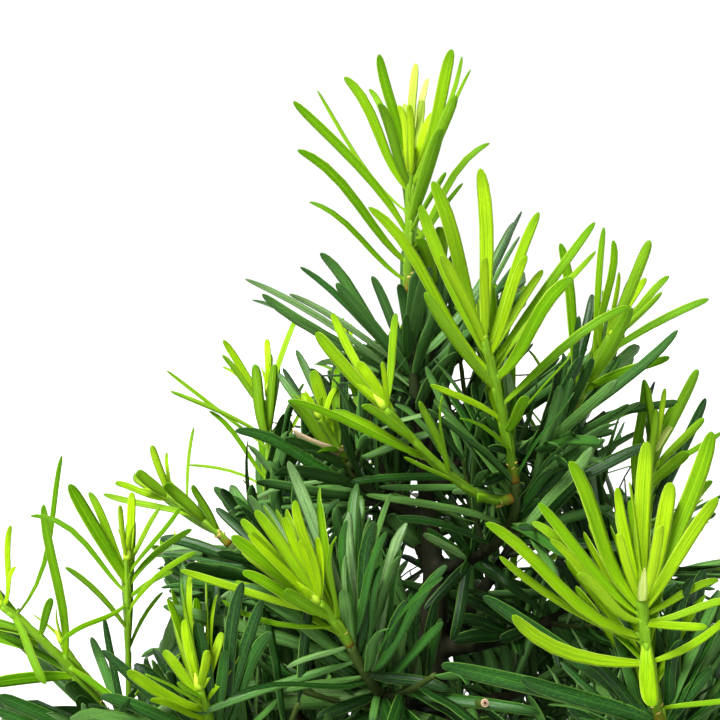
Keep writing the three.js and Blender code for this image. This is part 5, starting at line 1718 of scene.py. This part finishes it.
def drain_cutter(x, material):
    turns = [FULL_TURN * k / DRAIN_SIDES for k in range(DRAIN_SIDES)]
    rings = [[(x + DRAIN_RADIUS * math.cos(turn), DRAIN_RADIUS * math.sin(turn), z)
              for turn in turns] for z in (0, FLOOR_HEIGHT + 5)]
    return plain_mesh("drain_cutter", *loft(rings), material)


def build_pot(material):
    made = plain_mesh("stoneware_pot", *loft(pot_profile()), material)
    cutters = [drain_cutter(side * DRAIN_SPACING / 2, material) for side in (-1, 1)]
    for cutter in cutters:
        cut = made.modifiers.new("drain", "BOOLEAN")
        cut.operation = "DIFFERENCE"
        cut.object = cutter
    apply_modifiers(made)
    for cutter in cutters:
        bpy.data.objects.remove(cutter)
    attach(made, "root")
    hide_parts("pot")
    for name, (sign_x, sign_y) in QUARTERS.items():
        outline = [(x * sign_x, y * sign_y) for x, y in FOOT_OUTLINE]
        if sign_x * sign_y > 0:
            outline.reverse()
        rings = [[(x, y, z) for x, y in outline] for z in (0, FOOT_TOP)]
        foot = plain_mesh("pot_foot_" + name, *loft(rings), material, smooth=False)
        edge = foot.modifiers.new("edge", "BEVEL")
        edge.width = FOOT_EDGE * MM
        edge.segments = 2
        apply_modifiers(foot)
        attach(foot, "root")


SOIL_SUNK = 1.4
SOIL_CLEAR = 0.8
SOIL_EDGE_CLEAR = 1.3
SOIL_RINGS = (1, 0.97, 0.9, 0.8, 0.68, 0.55, 0.42, 0.3, 0.16, 0.05)
GRAIN_PITCH = 4.1
GRAIN_CLEAR = 4
GRAIN_SIZES = (1.3, 1.6, 1.9, 2.2, 2.7)
GRAIN_SHAPES = 12
GRAIN_RING = 0.89
GRAIN_RISE = 0.45
GRAIN_STRAY = 0.45 * GRAIN_PITCH
GRAIN_JITTER = 0.2
SOIL_SEED = 7


def soil_rise(x, y):
    """Height of the soil at a place."""
    share = max(abs(x) / (POT_LENGTH / 2 - LIP_WIDTH), abs(y) / (POT_WIDTH / 2 - LIP_WIDTH))
    return SOIL_TOP + SOIL_MOUND * np.interp(share, (0.3, 0.55, 0.8, 1), (1, 0.75, 0.35, 0))


def lump(draws):
    """Corners and faces of one angular grain about one millimetre in radius."""
    points = [(0, 0, 1)]
    for start, z in ((0, GRAIN_RISE), (0.5, -GRAIN_RISE)):
        turns = [(k + start) * math.pi * 0.4 for k in range(5)]
        points += [(GRAIN_RING * math.cos(turn), GRAIN_RING * math.sin(turn), z) for turn in turns]
    points.append((0, 0, -1))
    faces = []
    for k in range(5):
        after = (k + 1) % 5
        faces += [(0, 1 + k, 1 + after), (1 + k, 6 + k, 1 + after),
                  (1 + after, 6 + k, 6 + after), (11, 6 + after, 6 + k)]
    jitter = np.array([[draws.uniform(-GRAIN_JITTER, GRAIN_JITTER) for _ in range(3)]
                       for _ in points])
    return np.array(points) + jitter, np.array(faces)


def turned(points, draws):
    """Points turned at random about the origin."""
    axis = unit(np.array([draws.gauss(0, 1) for _ in range(3)]))
    angle = draws.uniform(0, math.pi)
    cross = np.cross(axis, points)
    along = np.outer(points @ axis, axis)
    return points * math.cos(angle) + cross * math.sin(angle) + along * (1 - math.cos(angle))


def near(value, reach, draws):
    """A place drawn near another, and kept within reach."""
    drawn = value + draws.uniform(-GRAIN_STRAY, GRAIN_STRAY)
    return min(max(drawn, -reach), reach)


def build_soil(bed_material, grain_material):
    draws = random.Random(SOIL_SEED)
    rings = [box_ring(LIP_WIDTH + INNER_TAPER + SOIL_CLEAR, INNER_CORNER,
                      FLOOR_HEIGHT + FLOOR_EDGE)]
    for share in SOIL_RINGS:
        ring = box_ring(LIP_WIDTH + SOIL_EDGE_CLEAR, INNER_CORNER * share, 0, share)
        rings.append([
            (x, y, soil_rise(x, y) - SOIL_SUNK + 0.7 * noise.noise(Vector((x, y, 0)) * 0.2))
            for x, y, _ in ring
        ])
    bed = plain_mesh("soil_bed", *loft(rings), bed_material)
    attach(bed, "root")
    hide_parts("soil")
    grains = Piece()
    shapes = [lump(draws) for _ in range(GRAIN_SHAPES)]
    reach_x, reach_y = [side / 2 - LIP_WIDTH - GRAIN_CLEAR for side in (POT_LENGTH, POT_WIDTH)]
    rows, columns = [np.arange(-reach, reach + 0.1, GRAIN_PITCH) for reach in (reach_x, reach_y)]
    for x, y in product(rows, columns):
        points, faces = draws.choice(shapes)
        size = draws.choice(GRAIN_SIZES) * draws.uniform(0.85, 1.15)
        own_x, own_y = near(x, reach_x, draws), near(y, reach_y, draws)
        spot = (own_x, own_y, soil_rise(own_x, own_y) - 0.5 + draws.uniform(-0.4, 0.6))
        squash = np.array([1, draws.uniform(0.7, 1), draws.uniform(0.6, 0.9)])
        shape = turned(points * squash, draws)
        zeros = np.zeros(len(points))
        corners = np.tile([(0.0, 0.0), (1.0, 0.0), (0.5, 1.0)], (len(faces), 1, 1))
        grains.add(shape * size + spot, faces, np.zeros(len(faces)), corners, zeros, zeros,
                   draws.random())
    made = grains.build("soil_grains", [grain_material])
    shade_smooth(made.data, False)


def stoneware_material():
    shader = Shader("dark_stoneware")
    clouds = shader.noise(shader.place(), 14.0, 4.0)
    sand = shader.noise(shader.place(), 900.0, 2.0, 0.7)
    specks = shader.grain(shader.place(), 700.0)
    drawn = shader.noise(shader.place((0.12, 0.12, 1)), 190.0, 3.0)
    base = shader.ramp(clouds, [(0.3, (66, 42, 32)), (0.5, (84, 54, 40)), (0.72, (100, 66, 48))])
    base = shader.over(base, (132, 98, 76), sand, 0.55, 0.75, 0.0, 0.4)
    base = shader.over(base, (38, 26, 22), specks, 0.2, 0.05, 0.0, 0.5)
    base = shader.over(base, (58, 38, 30), drawn, 0.5, 0.8, 0.0, 0.25)
    relief = shader.math("ADD", shader.times(sand, 0.8), shader.times(drawn, 0.5))
    return shader.finish(base, shader.span(clouds, 0.3, 0.7, 0.58, 0.76), 0.4,
                         shader.bump(relief, 0.4, 0.0004))


def earth_material(name, shades, scale):
    shader = Shader(name)
    crumbs = shader.noise(shader.place(), scale, 4.0, 0.65)
    shade = shader.math("ADD", shader.times(shader.fact("tint"), 0.8), shader.times(crumbs, 0.2))
    base = shader.ramp(shade, shades)
    base = shader.over(base, (50, 36, 26), crumbs, 0.5, 0.8, 0.0, 0.4)
    return shader.finish(base, shader.span(crumbs, 0.2, 0.8, 0.86, 0.98), 0.15,
                         shader.bump(crumbs, 0.8, 0.0006))


def screen_material():
    shader = Shader("black_plastic")
    grain = shader.noise(shader.place(), 1500.0, 2.0)
    base = shader.ramp(grain, [(0.3, (26, 28, 27)), (0.8, (40, 42, 40))])
    return shader.finish(base, shader.span(grain, 0.3, 0.7, 0.45, 0.62), 0.5,
                         shader.bump(grain, 0.3, 0.0001))


def dress(node, material):
    """Gives a CAD node that stays a better material."""
    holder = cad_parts[node].material_slots[0]
    holder.link = "OBJECT"
    holder.material = material


build_wood(bark_material())
build_pot(stoneware_material())
build_soil(
    earth_material("damp_soil", [(0, (46, 34, 25)), (1, (70, 52, 38))], 500.0),
    earth_material("soil_grain", [
        (0, (58, 42, 30)), (0.3, (96, 70, 48)), (0.6, (126, 94, 64)), (0.82, (92, 64, 44)),
        (0.93, (168, 146, 118)), (1, (190, 176, 154)),
    ], 700.0),
)
plastic = screen_material()
dress("drain_screen_left", plastic)
dress("drain_screen_right", plastic)

# Stage

FLOOR_REACH = 6000
KEY_PLACE = (-0.9, -1.3, 2.0)
KEY_SPREAD = 20
KEY_STRENGTH = 7.8

# The backdrop is as white as the lit floor, and the studio is dimmer overhead
BACKDROP_STRENGTH = 1.06
CEILING_SHADE = 0.45
BACKDROP_TOP = 0.2
CEILING_EDGE = 0.5


def add_floor():
    shader = Shader("pale_floor")
    speckle = shader.noise(shader.place(), 40.0, 2.0)
    shade = shader.ramp(speckle, [(0.3, (212, 212, 211)), (0.7, (216, 216, 215))])
    corners = [(FLOOR_REACH * x, FLOOR_REACH * y, 0)
               for x, y in ((-1, -1), (1, -1), (1, 1), (-1, 1))]
    floor = plain_mesh("floor", corners, [(0, 1, 2, 3)], shader.finish(shade, 0.7, 0.1),
                       smooth=False)


def add_key():
    """Broad even light from above the near left."""
    data = bpy.data.lights.new("key", "SUN")
    data.angle = math.radians(KEY_SPREAD)
    data.energy = KEY_STRENGTH
    light = linked("key", data)
    light.rotation_euler = (-Vector(KEY_PLACE)).to_track_quat("-Z", "Y").to_euler()


def add_world():
    shader = Shader("studio", bpy.data.worlds)
    way = shader.node("ShaderNodeTexCoord").outputs["Generated"]
    fade = shader.span(shader.height_of(way), BACKDROP_TOP, CEILING_EDGE, 1.0, CEILING_SHADE)
    light = shader.node("ShaderNodeBackground", {"Color": fade, "Strength": BACKDROP_STRENGTH})
    shader.node("ShaderNodeOutputWorld", {"Surface": light.outputs[0]})
    bpy.context.scene.world = shader.owner


add_floor()
add_world()
add_key()
bpy.context.scene.view_settings.view_transform = "Standard"
